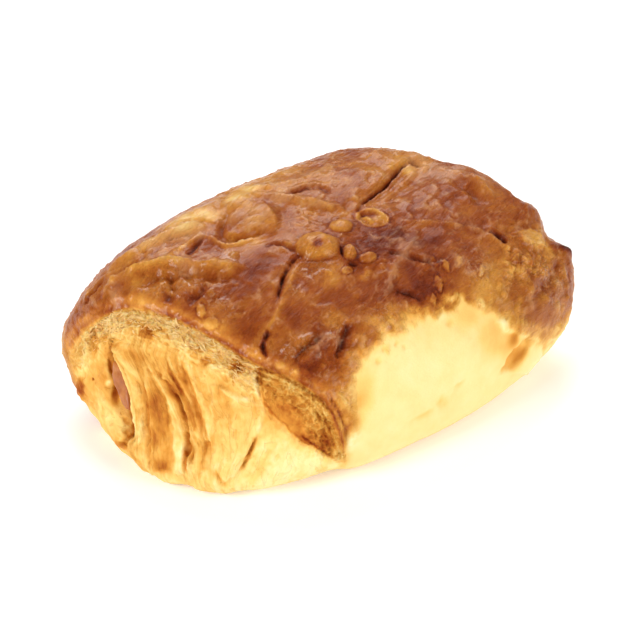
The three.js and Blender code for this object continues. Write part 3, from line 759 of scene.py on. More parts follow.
class Clay:
    """The surface while it is worked: its points, the way out of it, and how it is baked

    base holds the points that lines, leaves and spots are laid on. bake goes from 0, pale, to 1, dark, crest
    says how far a place is the top of a fold or lies under a painted sheen, and feeds only the painted
    sheen, and glint how wet and puckered it is, which also places the painted glints.
    """

    def __init__(self, mesh):
        self.mesh = mesh
        count = len(mesh.vertices)
        flat = np.zeros(count * 3, np.float32)
        mesh.vertices.foreach_get("co", flat)
        self.co = flat.reshape(-1, 3).astype(float) / MM
        ends = np.zeros(len(mesh.edges) * 2, np.int32)
        mesh.edges.foreach_get("vertices", ends)
        self.ends = ends.reshape(-1, 2)
        self.bake = np.zeros(count)
        self.crest = np.zeros(count)
        self.glint = np.zeros(count)
        self.settle()

    def averaged(self, values, rounds, share=None):
        """values smoothed along the surface, everywhere or by a share for each point"""
        a, b = self.ends.T
        count = len(self.co)
        neighbours = np.maximum(np.bincount(self.ends.ravel(), minlength=count), 1)
        values = values.reshape(count, -1).copy()
        move = 0.5 if share is None else 0.5 * share
        for _ in range(rounds):
            for axis in range(values.shape[1]):
                column = values[:, axis]
                total = np.bincount(a, column[b], count) + np.bincount(b, column[a], count)
                values[:, axis] = column + move * (total / neighbours - column)
        return values

    def settle(self):
        """Takes the points as they are now for the base"""
        self.write_points()
        flat = np.zeros(len(self.co) * 3, np.float32)
        self.mesh.vertices.foreach_get("normal", flat)
        normal = self.averaged(flat.reshape(-1, 3).astype(float), 4)
        self.normal = normal / np.maximum(np.linalg.norm(normal, axis=1, keepdims=True), 1e-9)
        self.base = self.co.copy()

    def write_points(self):
        self.mesh.vertices.foreach_set("co", (self.co * MM).astype(np.float32).ravel())
        self.mesh.update()

    def keep_within(self, low, high, clear=0.0):
        """Holds every point in a box, which is given in metres"""
        self.co = np.clip(self.co, np.array(low) / MM + clear, np.array(high) / MM - clear)

    def push(self, chosen, amount):
        """Moves points along the way out of the surface"""
        self.co[chosen] += self.normal[chosen] * np.asarray(amount)[..., None]

    def off_from(self, centre, radius):
        """How far every point lies from a centre, in radii, squared"""
        return (np.linalg.norm(self.base - np.array(centre), axis=1) / radius) ** 2

    def along(self, path, reach):
        """Points within reach of a path: which, how far off, and how far along it from 0 to 1"""
        low, high = path.min(0) - reach, path.max(0) + reach
        near = np.flatnonzero(((self.base > low) & (self.base < high)).all(1))
        points = self.base[near]
        best = np.full(len(near), np.inf)
        share = np.zeros(len(near))
        steps = len(path) - 1
        for i in range(steps):
            a, ab = path[i], path[i + 1] - path[i]
            t = np.clip((points - a) @ ab / max(ab @ ab, 1e-9), 0, 1)
            gap = np.linalg.norm(points - a - t[:, None] * ab, axis=1)
            closer = gap < best
            best[closer] = gap[closer]
            share[closer] = (i + t[closer]) / steps
        kept = best < reach
        return near[kept], best[kept], share[kept]

    def draw_line(self, path, width, height, bake):
        """Raises a fold or sinks a crease along a path, with an uneven width and fading ends"""
        chosen, gap, share = self.along(path, width * 2.6)
        uneven = noise_on(self.base[chosen], 0.35 / width ** 0.5, 3, LINE_SEED)
        gap = np.abs(gap + 0.8 * width * uneven)
        fading = np.clip(np.minimum(share, 1 - share) * 5, 0, 1) ** 0.6
        strength = fading * np.clip(1 + 0.9 * uneven, 0.3, 1.6)
        soft = np.exp(-(gap / width) ** 2) * strength
        if height < 0:
            sharp = np.clip(1 - gap / (1.3 * width), 0, 1) ** 1.3 * strength
            lips = np.exp(-((gap - 1.7 * width) / (0.7 * width)) ** 2) * strength
            self.push(chosen, height * (0.75 * sharp + 0.25 * soft) - 0.22 * height * lips)
        else:
            sharp = strength * np.exp(-gap / (0.7 * width))
            self.push(chosen, height * (0.5 * soft + 0.5 * sharp))
        # The line's colour: partly the dough's own browning, partly painted shade in a crease and painted
        # highlight on a fold
        self.bake[chosen] += bake * soft

    def draw_spot(self, picture, at, size, turn, height, bake, hollow=0.0, rim=0.0):
        """Raises a blister or sinks a pit. An opened blister is hollowed inside its rim."""
        centre = np.array(picture.point(*at))
        near = np.flatnonzero(np.linalg.norm(self.base - centre, axis=1) < max(size) * 0.9)
        near = near[(self.normal[near] @ np.array(BACK)) > 0]
        off = picture.seen_at(self.base[near]) - np.array(at)
        angle = math.radians(turn)
        along = (off[:, 0] * math.cos(angle) - off[:, 1] * math.sin(angle)) / size[0]
        across = (off[:, 0] * math.sin(angle) + off[:, 1] * math.cos(angle)) / size[1]
        uneven = noise_on(self.base[near], 4.5 / max(size), 3, at[0])
        raised = height > 0
        r = np.hypot(along, across) * (1 + (0.12 if raised else 0.3) * uneven)
        dome = np.clip(1 - r ** 2.6, 0, 1) ** 0.9
        ring = np.exp(-((r - 1.12) / 0.12) ** 2)
        self.push(near, height * dome * (1 + 0.3 * uneven) - 0.15 * abs(height) * ring)
        fading = smooth(1.05, 0.82, r) if raised else smooth(1.25, 0.3, r)
        # A raised spot is also painted darker in a ring round its foot: painted shade
        self.bake[near] += bake * fading * (1 + 0.5 * uneven) + 0.09 * raised * ring
        if hollow:
            self.push(near, -hollow * smooth(0.95, 0.7, r))
            self.bake[near] += rim * np.exp(-((r - 0.97) / 0.08) ** 2)
            self.bake[near] += 0.08 * smooth(0.9, 0.8, r) * (1 + 1.6 * uneven)

    def lay_leaf(self, height, bake, edge, outline):
        """Raises what lies inside an outline of the picture, with a sharp and uneven border"""
        corners = np.array(outline, float)
        u, v = Picture.seen_at(self.base).T
        low, high = corners.min(0) - 6, corners.max(0) + 6
        near = np.flatnonzero((u > low[0]) & (u < high[0]) & (v > low[1]) & (v < high[1])
                              & (self.normal @ np.array(BACK) > 0))
        points = self.base[near]
        warp = np.stack([noise_of("leaf, across", points), noise_of("leaf, up", points)], 1)
        seen = np.stack([u[near], v[near]], 1) + 2.2 * warp
        gap = np.full(len(near), np.inf)
        inside = np.zeros(len(near), bool)
        for a, b in zip(corners, np.roll(corners, -1, 0)):
            t = np.clip((seen - a) @ (b - a) / ((b - a) @ (b - a)), 0, 1)
            gap = np.minimum(gap, np.linalg.norm(seen - a - t[:, None] * (b - a), axis=1))
            crosses = (a[1] > seen[:, 1]) != (b[1] > seen[:, 1])
            rise = b[1] - a[1] + 1e-9
            inside ^= crosses & (seen[:, 0] < a[0] + (seen[:, 1] - a[1]) * (b[0] - a[0]) / rise)
        depth = np.where(inside, gap, -gap)
        hollow = np.exp(-((depth + 2.5) / 1.5) ** 2)
        border = np.exp(-((depth - 1.0) / 1.6) ** 2)
        self.push(near, height * (smooth(-0.6, 1.8, depth) - 0.25 * hollow))
        self.bake[near] += bake * smooth(-1, 3, depth) + edge * border

    def draw_pimple(self, centre, radius, height, bake):
        """Raises one tiny blister"""
        near = np.flatnonzero(((self.base - centre) ** 2).sum(1) < (1.6 * radius) ** 2)
        r = np.linalg.norm(self.base[near] - centre, axis=1) / radius
        self.push(near, height * np.clip(1 - r * r, 0, 1))
        self.bake[near] += bake * smooth(1.3, 0.6, r)

    def attribute(self, name, values):
        layer = self.mesh.attributes.new(name, "FLOAT", "POINT")
        layer.data.foreach_set("value", np.asarray(values, np.float32))

    def finished(self, name, finish):
        """The worked piece, with its finish, put in the scene"""
        self.write_points()
        self.mesh.shade_smooth()
        self.mesh.materials.clear()
        self.mesh.materials.append(finish)
        return shown(name, self.mesh)


def noise_on(points, scale, octaves, seed):
    """Soft noise from about -1 to 1. scale is one number or one for each axis, in turns a millimetre."""
    scaled = points * np.asarray(scale, float) + np.array([seed, seed * 1.7, -seed])
    return np.array([noise.fractal(Vector(p), 1.0, 2.0, octaves) for p in scaled])


def noise_of(name, points):
    return noise_on(points, *NOISES[name])


def cells_on(points, scale, seed):
    """0 on the walls of foam-like cells, rising to about 1 inside them"""
    scaled = points * np.asarray(scale, float) + seed
    gaps = np.empty(len(points))
    for i, p in enumerate(scaled):
        distances = noise.voronoi(Vector(p))[0]
        gaps[i] = distances[1] - distances[0]
    return np.clip(gaps * 1.8, 0, 1)


# Where things are on the dough

def past_near_rim(co):
    """How far points lie past the crust's cut edge at the near end"""
    keys, values = np.array(NEAR_RIM, float).T
    return np.interp(co[:, 1] - MIDDLE.y, keys, values) - co[:, 0] + MIDDLE.x


def past_far_rim(co):
    """How far points lie past the crust's cut edge at the far end"""
    keys, values = np.array(FAR_RIM, float).T
    return co[:, 0] - MIDDLE.x - np.interp(co[:, 1] - MIDDLE.y, keys, values)


def far_rim_line(picture):
    """The crust's cut edge at the far end, found from above"""
    found = []
    keys, values = np.array(FAR_RIM, float).T
    for y in np.arange(keys[0], keys[-1], FAR_RIM_STEP):
        x = np.interp(y, keys, values) - FAR_RIM_INSET
        top = Vector((x + MIDDLE.x, y + MIDDLE.y, ABOVE)) * MM
        hit = picture.tree.ray_cast(top, Vector((0, 0, -1)))[0]
        if hit is not None:
            found.append(hit / MM)
    return millimetres(found)


def cut_ends(clay, near_rim, far_rim):
    """How far each place belongs to a cut end, and its gap from the nearest rim"""
    base = clay.base
    order = np.argsort(near_rim[:, 1])
    near_out = np.interp(base[:, 1], near_rim[order, 1], near_rim[order, 0]) - base[:, 0]
    ends = np.maximum(smooth(-0.2, 0.6, near_out), smooth(-0.2, 0.6, past_far_rim(base)))
    rim_gap = np.full(len(base), FAR_OFF)
    for rim in (near_rim, far_rim):
        chosen, gap, _ = clay.along(rim, RIM_REACH)
        rim_gap[chosen] = np.minimum(rim_gap[chosen], gap)
    return ends, rim_gap + LOW_DOWN * smooth(12, 6, base[:, 2])


def layer_place(co):
    """How many layers a point of an end lies from the back, in layer widths"""
    y, z = co[:, 1] - MIDDLE.y, co[:, 2]
    borders = np.array([np.interp(z, LAYER_HEIGHTS, row) for row in LAYER_BORDERS])
    place = np.zeros(len(co))
    for k in range(len(borders) - 1):
        inside = (y <= borders[k]) & (y > borders[k + 1])
        place[inside] = k + ((borders[k] - y) / (borders[k] - borders[k + 1]))[inside]
    place[y <= borders[-1]] = len(borders) - 1
    return place * LAYER_WIDTH


def pale_side(clay, picture, crust):
    """How far each place belongs to the pale right side, and to the golden fringe over it"""
    base = clay.base
    border = picture.path(PALE_EDGE)
    order = np.argsort(border[:, 0])
    height = np.interp(base[:, 0], border[order, 0], border[order, 2])
    ragged = BORDER_RAGGED * noise_of("side border", base)
    ragged += BORDER_RAGGED * noise_of("fine side border", base)
    right_side = smooth(*SIDE_Y, base[:, 1])
    over = (base[:, 2] - height + ragged) / (0.7 + 1.2 * smooth(12, 38, base[:, 0]))
    pale = right_side * smooth(*SIDE_FADE, over) * crust
    pale = clay.averaged(pale, SIDE_BLUR_ROUNDS, smooth(*SIDE_BLUR_X, base[:, 0]))[:, 0]
    return pale, right_side * smooth(*FRINGE_FADE, over) * (1 - pale)


# Dough

def fine(points, normals):
    """Whether the skin is fine at some points"""
    x, y, z = points.T
    seen = normals @ np.array(BACK) > TURNED_AWAY
    side = (y < SIDE_START) & (z < SIDE_TOP) & (x < SIDE_END)
    return seen & ~side & (z > FOOT_TOP)


def finest(points, normals):
    """Whether the skin is finest at some points"""
    x, y, z = points.T
    past = past_near_rim(points)
    band = (past > RIM_BAND[0]) & (past < RIM_BAND[1]) & (x < 0)
    band &= (z > RIM_BAND_LOW) & (np.abs(y - RIM_BAND_MIDDLE) < RIM_BAND_HALF)
    u, v = Picture.seen_at(points).T
    boxed = np.zeros(len(points), bool)
    for left, top, right, bottom in FINEST.values():
        boxed |= (u > left) & (u < right) & (v > top) & (v < bottom)
    return band | boxed & (normals @ np.array(BACK) > 0.1)


def worked_dough():
    """The dough's skin before anything is pressed into it, and a picture of it"""
    mesh = skin_over("dough", DOUGH_VOXEL)
    clay = Clay(mesh)
    clay.co = clay.averaged(clay.co, SMOOTHING_ROUNDS)
    clay.write_points()
    refine(mesh, fine)
    refine(mesh, finest)
    clay = Clay(mesh)
    near, far = (smooth(*RIM_BLEND, past(clay.co)) for past in (past_near_rim, past_far_rim))
    crust = (1 - near) * (1 - far)
    clay.co = clay.averaged(clay.co, CRUST_SMOOTHING_ROUNDS, END_SMOOTHING + (1 - END_SMOOTHING) * crust)
    clay.settle()
    return clay, Picture(mesh)


def bake_ground(clay, crust, ends, pale, fringe, layers):
    """The even tones of the crust, the pale side and the ends"""
    y, z = clay.base[:, 1], clay.base[:, 2]
    clouds = noise_of("clouds", clay.base)
    top = CRUST_BAKE - FRINGE_PALER * fringe + CLOUD_BAKE * clouds
    clay.bake += crust * (top * (1 - pale) + SIDE_BAKE * pale)
    back_side = smooth(18, 40, y) * smooth(26, 6, z)
    clay.bake -= BACK_PALER * crust * back_side
    calm = smooth(22, 27, layers)
    clay.bake += ends * (END_BAKE - CALM_LAYERS_PALER * calm * smooth(30, 8, z)
                         - LOW_END_PALER * smooth(16, 3, z))
    clay.bake = clay.averaged(clay.bake, BAKE_ROUNDS)[:, 0]


def press_folds(clay, crust):
    """The crust is crumpled: sharp folds and creases of some length, large and small"""
    on = crust > 0.01
    points = clay.base[on]
    warp = np.stack([noise_of("bent folds, " + axis, points) for axis in "xyz"], 1)
    broad = noise_of("broad waves", points + WAVE_BEND * warp)
    relief, crest = WAVE_HEIGHT * broad, np.zeros(len(points))
    for scale, height, sharpness, seed in FOLDS:
        field = noise_on(points + FOLD_BEND * warp, FOLD_STRETCH * scale, 2, seed)
        kind = noise_on(points, 0.6 * scale, 1, seed + 5)
        ridge = np.exp(-np.abs(field) / sharpness) * smooth(0.0, 0.35, kind)
        crease = np.exp(-np.abs(field) / (0.6 * sharpness)) * smooth(0.05, 0.35, -kind)
        relief += height * (ridge - 0.8 * crease)
        crest += ridge - 0.6 * crease
    strength = crust[on] * smooth(2, 12, points[:, 2])
    ripples = noise_of("ripples", points + warp)
    clay.push(on, strength * (relief + RIPPLE_HEIGHT * ripples))
    # Painted highlight and shade: wave tops and fold ridges are painted paler and creases darker; the ridges
    # also feed the painted sheen
    clay.bake[on] += crust[on] * (-0.07 * broad - 0.06 * crest)
    clay.crest[on] += crust[on] * crest


def flake_ends(clay, ends, rim_gap, layers):
    """Thin leaves along the rolled layers, and foam-like crumb under the rim"""
    on = (ends > 0.05) & (clay.base[:, 2] > 0.5)
    points = clay.base[on]
    x, y, z = points.T
    bend = noise_of("bend", points)
    leaves = noise_of("leaves", np.stack([layers[on] * 0.40 + bend, z * 0.12, y * 0.03 + x * 0.03], 1))
    rings = noise_of("rings", np.stack([rim_gap[on] * 0.7 + 0.6 * bend, y * 0.16, z * 0.16], 1))
    ringed = 1 - np.abs(rings) * 2.4
    warp = np.stack([bend, noise_of("bent crumb, y", points), noise_of("bent crumb, z", points)], 1)
    holes = 1 - smooth(0.03, 0.45, cells_on(points + CRUMB_BEND * warp, *HOLES))
    small = cells_on(points + CRUMB_BEND * warp, *SMALL_HOLES)
    lumps = noise_of("lumps", points)
    ragged = noise_of("ragged bits", points)
    by_rim = smooth(11, 5, rim_gap[on])
    calm = smooth(21, 24, layers[on])
    relief = 0.42 * leaves * (1 - by_rim) * (1 - 0.85 * calm)
    relief += by_rim * (0.3 * (ringed - 0.5) + 0.45 * (holes - 0.5) - 0.2 * small)
    relief += (0.35 * lumps + 0.16 * ragged) * (1 - 0.55 * calm)
    clay.push(on, relief * ends[on])
    # Painted shade and highlight: the crumb is painted darker in its hollows and cells and paler on its
    # raised leaves, rings, lumps and cell walls; close to the rim it is also made paler overall
    dark = -0.09 * leaves * (1 - by_rim) * (1 - 0.6 * calm)
    dark += by_rim * (-0.08 * (holes - 0.5) + 0.09 * small - 0.05 * (ringed - 0.5) - 0.10)
    clay.bake[on] += ends[on] * (dark - 0.06 * lumps - 0.05 * ragged)


def swell_side(clay, pale):
    """Soft waves on the pale side"""
    side = pale > 0.05
    clay.push(side, SIDE_WAVES * pale[side] * noise_of("side waves", clay.base[side]))


def raise_pimples(clay, picture, crust):
    """Tiny blisters, in the places where the crust has most of them"""
    draw = np.random.default_rng(PIMPLE_SEED)
    for at, spread, count in PIMPLES.values():
        gap = np.linalg.norm(clay.base - np.array(picture.point(*at)), axis=1)
        near = np.flatnonzero((gap < spread) & (crust > 0.8))
        for chosen in draw.choice(near, min(count, len(near)), replace=False):
            radius = draw.uniform(*PIMPLE_RADIUS)
            height = radius * draw.uniform(*PIMPLE_HEIGHT)
            clay.draw_pimple(clay.base[chosen], radius, height, draw.uniform(*PIMPLE_BAKE))


def draw_details(clay, picture, crust):
    """Folds, creases, leaves, blisters, pits and bits, each in its own place"""
    for width, height, bake, points in LINES.values():
        path = picture.path(points)
        on_crust = crust[np.argmin(((clay.base - path[len(path) // 2]) ** 2).sum(1))]
        gain = 1 + on_crust * (FOLD_GAIN - 1)
        clay.draw_line(path, width, gain * height, gain * bake)
    for leaf in LEAVES.values():
        clay.lay_leaf(*leaf)
    for spot in SPOTS.values():
        clay.draw_spot(picture, *spot)


def tint(clay, picture, crust, spread):
    """Darker and paler patches, among them painted shade and painted highlight, the places of glints, and
    painted sheens, each in its own place
    """
    for at, radius, bake in PATCHES.values():
        off = clay.off_from(picture.point(*at), radius)
        clay.bake += bake * np.exp(-off) * (1 + 0.6 * spread)
    for at, radius in GLINTS.values():
        off = clay.off_from(picture.point(*at), radius)
        clay.glint = np.maximum(clay.glint, np.exp(-off * (1 + 0.5 * spread)))
    # Painted sheen: these raise the crest value, which paints the crust pale and pinkish
    for at, radius, amount in SHEENS.values():
        off = clay.off_from(picture.point(*at), radius)
        clay.crest += amount * np.exp(-off) * crust


def close_slit(clay):
    """Draws the lips of the slit together above and below, so that the ham shows in a narrow lens"""
    x, y, z = clay.base.T
    heights, line = np.array(SLIT_LINE, float).T
    off = y - np.interp(z, heights, line)
    left = smooth(LEFT_LIP_REACH, 0, off - SLIT_WALLS[0]) * (off > 0)
    left *= np.interp(z, SLIT_HEIGHTS, LEFT_LIP)
    right = smooth(RIGHT_LIP_REACH, 0, -off - SLIT_WALLS[1]) * (off <= 0)
    right *= np.interp(z, SLIT_HEIGHTS, RIGHT_LIP)
    near = smooth(SLIT_LIP_ENDS[1], SLIT_LIP_ENDS[0], x)
    move = (left + right) * near
    clay.co[:, 1] += move
    clay.co[:, 0] += END_SLANT * left * near
    clay.bake += LIP_BAKE * np.abs(move) * smooth(1.2, 0.2, np.abs(off) - SLIT_WALLS[1])


def thicken_rim(clay, crust, rim_gap, spread):
    """The crust's cut edges stand up a little, dark along the edge and paler behind it"""
    clay.push(slice(None), 0.12 * np.exp(-(rim_gap / 0.9) ** 2))
    clay.bake += 0.14 * np.exp(-(rim_gap / 0.7) ** 2) * (1 + spread)
    clay.bake -= 0.09 * crust * smooth(3.4, 1.2, rim_gap)


def make_dough():
    """The whole dough, and the lines of the crust's cut edges"""
    clay, picture = worked_dough()
    near_rim, far_rim = picture.path(NEAR_EDGE), far_rim_line(picture)
    ends, rim_gap = cut_ends(clay, near_rim, far_rim)
    crust = 1 - ends
    pale, fringe = pale_side(clay, picture, crust)
    layers = layer_place(clay.base)
    spread = noise_of("spread", clay.base)

    bake_ground(clay, crust, ends, pale, fringe, layers)
    press_folds(clay, crust * (1 - SIDE_FOLDS_LEFT_OUT * pale))
    flake_ends(clay, ends, rim_gap, layers)
    swell_side(clay, pale)
    raise_pimples(clay, picture, crust * (1 - pale))
    draw_details(clay, picture, crust)
    tint(clay, picture, crust, spread)
    close_slit(clay)
    thicken_rim(clay, crust, rim_gap, spread)

    foot = smooth(1.6, 0.4, clay.base[:, 2])
    clay.bake = clay.bake * (1 - foot) + FOOT_BAKE * foot
    clay.keep_within(cad_low, cad_high, CLEAR_OF_BOX)
    clay.co[:, 2] = np.maximum(clay.co[:, 2], 0.0)
    clay.attribute("bake", np.clip(clay.bake, 0, 1))
    clay.attribute("crest", np.clip(clay.crest, -1, 2))
    clay.attribute("glint", clay.glint * crust * (1 - pale))
    clay.attribute("crumb", np.clip(ends, 0, 1))
    clay.attribute("pale", np.clip(pale, 0, 1))
    clay.attribute("layer", layers)
    clay.attribute("rim_gap", rim_gap)
    return clay.finished("crust_and_crumb", dough_finish()), (near_rim, far_rim)


# Flakes

def flake_blank():
    """A bar, one unit long, wide and high, with cuts along its length"""
    form = bmesh.new()
    bmesh.ops.create_cube(form, size=1.0)
    lengthwise = [e for e in form.edges if abs(e.verts[0].co.x - e.verts[1].co.x) > 0.5]
    bmesh.ops.subdivide_edges(form, edges=lengthwise, cuts=FLAKE_CUTS, use_grid_fill=True)
    bmesh.ops.recalc_face_normals(form, faces=form.faces)
    blank = bpy.data.meshes.new("flake_blank")
    form.to_mesh(blank)
    form.free()
    return blank


def values_of(mesh, name):
    values = np.zeros(len(mesh.vertices), np.float32)
    mesh.attributes[name].data.foreach_get("value", values)
    return values


def flake_places(mesh, co, draw):
    """Points of the dough that flakes stand on, most of them close under a rim"""
    clear_of_flap = (co[:, 0] > 0) | (Picture.seen_at(co)[:, 0] < FLAP_LEFT)
    likely = (values_of(mesh, "crumb") > 0.95) * smooth(*FLAKE_REACH, values_of(mesh, "rim_gap"))
    likely = likely * (co[:, 2] > FLAKE_LOWEST) * clear_of_flap
    return draw.choice(len(co), FLAKES, replace=False, p=likely / likely.sum())


def add_flake(form, blank, place, out, rim_way, draw):
    """One thin, curled leaf that lies along the rim and stands out of the crumb"""
    lie = rim_way.normalized() + Vector(draw.uniform(-FLAKE_TURN, FLAKE_TURN, 3).tolist())
    along = (lie - out * lie.dot(out)).normalized()
    size = Vector([draw.uniform(*limits) for limits in (FLAKE_LENGTH, FLAKE_THICKNESS, FLAKE_HEIGHT)])
    turn = Matrix((along, out.cross(along), out)).transposed()
    form.from_mesh(blank)
    form.verts.ensure_lookup_table()
    curl = draw.uniform(-FLAKE_CURL, FLAKE_CURL)
    lean = draw.uniform(-FLAKE_LEAN, FLAKE_LEAN)
    for vert in form.verts[-len(blank.vertices):]:
        x, y, z = vert.co
        taper = 1.0 - (2 * x) ** 4
        up = (z - 0.15) * size.z * (0.35 + 0.65 * taper) - 0.2 * (1 - taper)
        side = y * size.y * (1.2 - z) + curl * size.x * (4 * x * x - 0.5) + lean * up
        vert.co = (place + turn @ Vector((x * size.x, side, up))) * MM


def make_flakes(dough, rims):
    """Edges of thin leaves that stand out of the crumb under the crust's cut edges"""
    blank = flake_blank()
    mesh = dough.data
    co = np.zeros(len(mesh.vertices) * 3, np.float32)
    mesh.vertices.foreach_get("co", co)
    co = co.reshape(-1, 3) / MM
    draw = np.random.default_rng(FLAKE_SEED)
    rim_points = np.concatenate([rim[1:-1] for rim in rims])
    rim_ways = np.concatenate([rim[2:] - rim[:-2] for rim in rims])
    form = bmesh.new()
    for index in flake_places(mesh, co, draw):
        nearest = np.argmin(((rim_points - co[index]) ** 2).sum(1))
        place, out = Vector(co[index].tolist()), mesh.vertices[index].normal.copy()
        add_flake(form, blank, place, out, Vector(rim_ways[nearest].tolist()), draw)
    flakes = bpy.data.meshes.new("crumb_flakes")
    form.to_mesh(flakes)
    form.free()
    bpy.data.meshes.remove(blank)
    clay = Clay(flakes)
    clay.keep_within(cad_low, cad_high, CLEAR_OF_BOX)
    return clay.finished("crumb_flakes", flake_finish())


# Filling

def make_filling(node, roughness, spread, finish):
    """A layer of the filling. spread is how far its near end widens towards the back, in the lens."""
    clay = Clay(skin_over(node, FILLING_VOXEL))
    clay.co = clay.averaged(clay.co, SMOOTHING_ROUNDS)
    clay.settle()
    clay.push(slice(None), roughness * noise_of("filling", clay.base))
    x, _, z = clay.base.T
    heights, fronts = np.array(FILLING_FRONT, float).T
    slope = (fronts[1] - fronts[0]) / (heights[1] - heights[0])
    depth = x - fronts[0] - slope * (z - heights[0])
    lens = np.exp(-((z - LENS_HEIGHT) / LENS_HALF) ** 2)
    clay.co[:, 1] += spread * lens * smooth(*SPREAD_DEPTH, depth) * smooth(-0.2, 0.6, clay.normal[:, 1])
    hidden = np.maximum(smooth(*LENS_FOOT, z), smooth(*LENS_TOP, z))
    clay.co[:, 0] += SETBACK * hidden * smooth(*SETBACK_DEPTH, depth)
    clay.keep_within(*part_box(node))
    return clay.finished(node + "_layer", finish)


# Finishes

def linear(red, green, blue):
    """A colour as seen on a screen, from 0 to 255, as the light it stands for"""
    parts = [c / 255 for c in (red, green, blue)]
    return tuple(c / 12.92 if c <= 0.04045 else ((c + 0.055) / 1.055) ** 2.4 for c in parts) + (1.0,)


class Amount:
    """A number that changes over a surface, to be used in plain sums"""

    def __init__(self, finish, socket):
        self.finish = finish
        self.socket = socket

    def sum(self, operation, *values, clamp=False):
        node = self.finish.node("ShaderNodeMath", dict(operation=operation, use_clamp=clamp),
                                dict(enumerate(values)))
        return Amount(self.finish, node.outputs[0])

    def __add__(self, other):
        return self.sum("ADD", self, other)

    def __radd__(self, other):
        return self.sum("ADD", other, self)

    def __sub__(self, other):
        return self.sum("SUBTRACT", self, other)

    def __rsub__(self, other):
        return self.sum("SUBTRACT", other, self)

    def __mul__(self, other):
        return self.sum("MULTIPLY", self, other)

    def __rmul__(self, other):
        return self.sum("MULTIPLY", other, self)

    def size(self):
        return self.sum("ABSOLUTE", self)

    def sine(self):
        return self.sum("SINE", self)

    def clamped(self):
        return self.sum("ADD", self, 0.0, clamp=True)

    def at_least(self, other):
        return self.sum("MAXIMUM", self, other)


class Finish:
    """One material, built from nodes"""

    def __init__(self, name):
        self.material = bpy.data.materials.new(name)
        self.material.use_nodes = True
        self.tree = self.material.node_tree
        self.shader = self.tree.nodes["Principled BSDF"]

    def node(self, kind, settings=None, inputs=None):
        """A node of some kind, its settings first and then the values or links of its sockets"""
        node = self.tree.nodes.new(kind)
        for key, value in (settings or {}).items():
            if key == "stops":
                self.set_stops(node.color_ramp.elements, value)
            else:
                setattr(node, key, value)
        for key, value in (inputs or {}).items():
            self.feed(node.inputs[key], value)
        return node

    def set_stops(self, elements, stops):
        while len(elements) < len(stops):
            elements.new(1.0)
        for element, (place, colour) in zip(elements, stops):
            element.position = place
            element.color = colour

    def feed(self, socket, value):
        value = getattr(value, "socket", value)
        if isinstance(value, bpy.types.NodeSocket):
            self.tree.links.new(value, socket)
        else:
            socket.default_value = value

    def attribute(self, name):
        node = self.node("ShaderNodeAttribute", dict(attribute_name=name))
        return Amount(self, node.outputs["Fac"])

    def place(self):
        return self.node("ShaderNodeTexCoord").outputs["Object"]

    def stretched(self, *scale):
        node = self.node("ShaderNodeMapping", None, {"Vector": self.place(), "Scale": scale})
        return node.outputs[0]

    def joined(self, x, y, z):
        return self.node("ShaderNodeCombineXYZ", None, {0: x, 1: y, 2: z}).outputs[0]

    def noise(self, vector, scale, detail=3.0, roughness=0.5, distortion=0.0):
        node = self.node("ShaderNodeTexNoise", None, {"Vector": vector, "Scale": scale, "Detail": detail,
                                                      "Roughness": roughness, "Distortion": distortion})
        return Amount(self, node.outputs[0])

    def pushed(self, vector, scale, distance):
        """vector, shifted unevenly by up to about half the distance"""
        uneven = self.node("ShaderNodeTexNoise", None, {"Vector": vector, "Scale": scale, "Detail": 2.0})
        shift = self.node("ShaderNodeVectorMath", dict(operation="SCALE"),
                          {0: uneven.outputs["Color"], "Scale": distance})
        shifted = self.node("ShaderNodeVectorMath", dict(operation="ADD"), {0: vector, 1: shift.outputs[0]})
        return shifted.outputs[0]

    def steps(self, value, low, high):
        node = self.node("ShaderNodeMapRange", dict(interpolation_type="SMOOTHSTEP"),
                         {"Value": value, "From Min": low, "From Max": high})
        return Amount(self, node.outputs[0])

    def ramp(self, value, stops):
        return self.node("ShaderNodeValToRGB", dict(stops=stops), {0: value}).outputs[0]

    def blended(self, share, first, second):
        node = self.node("ShaderNodeMix", dict(data_type="RGBA"), {0: share, 6: first, 7: second})
        return node.outputs[2]

    def bumped(self, height, strength, distance):
        node = self.node("ShaderNodeBump", None, {"Height": height, "Strength": strength,
                                                  "Distance": distance * MM})
        return node.outputs[0]

    def set(self, **values):
        for key, value in values.items():
            self.feed(self.shader.inputs[key.replace("_", " ")], value)


# Colours of baked dough, from the palest to the darkest, and the pale pinkish colour of the painted sheen
# and painted glints
BAKED = [
    (0.00, linear(253, 236, 190)),
    (0.10, linear(252, 226, 160)),
    (0.22, linear(247, 205, 120)),
    (0.34, linear(232, 172, 82)),
    (0.46, linear(209, 139, 52)),
    (0.58, linear(182, 106, 34)),
    (0.70, linear(153, 72, 14)),
    (0.82, linear(120, 44, 6)),
    (1.00, linear(74, 22, 6)),
]
PAINTED_SHEEN_COLOUR = linear(214, 164, 122)


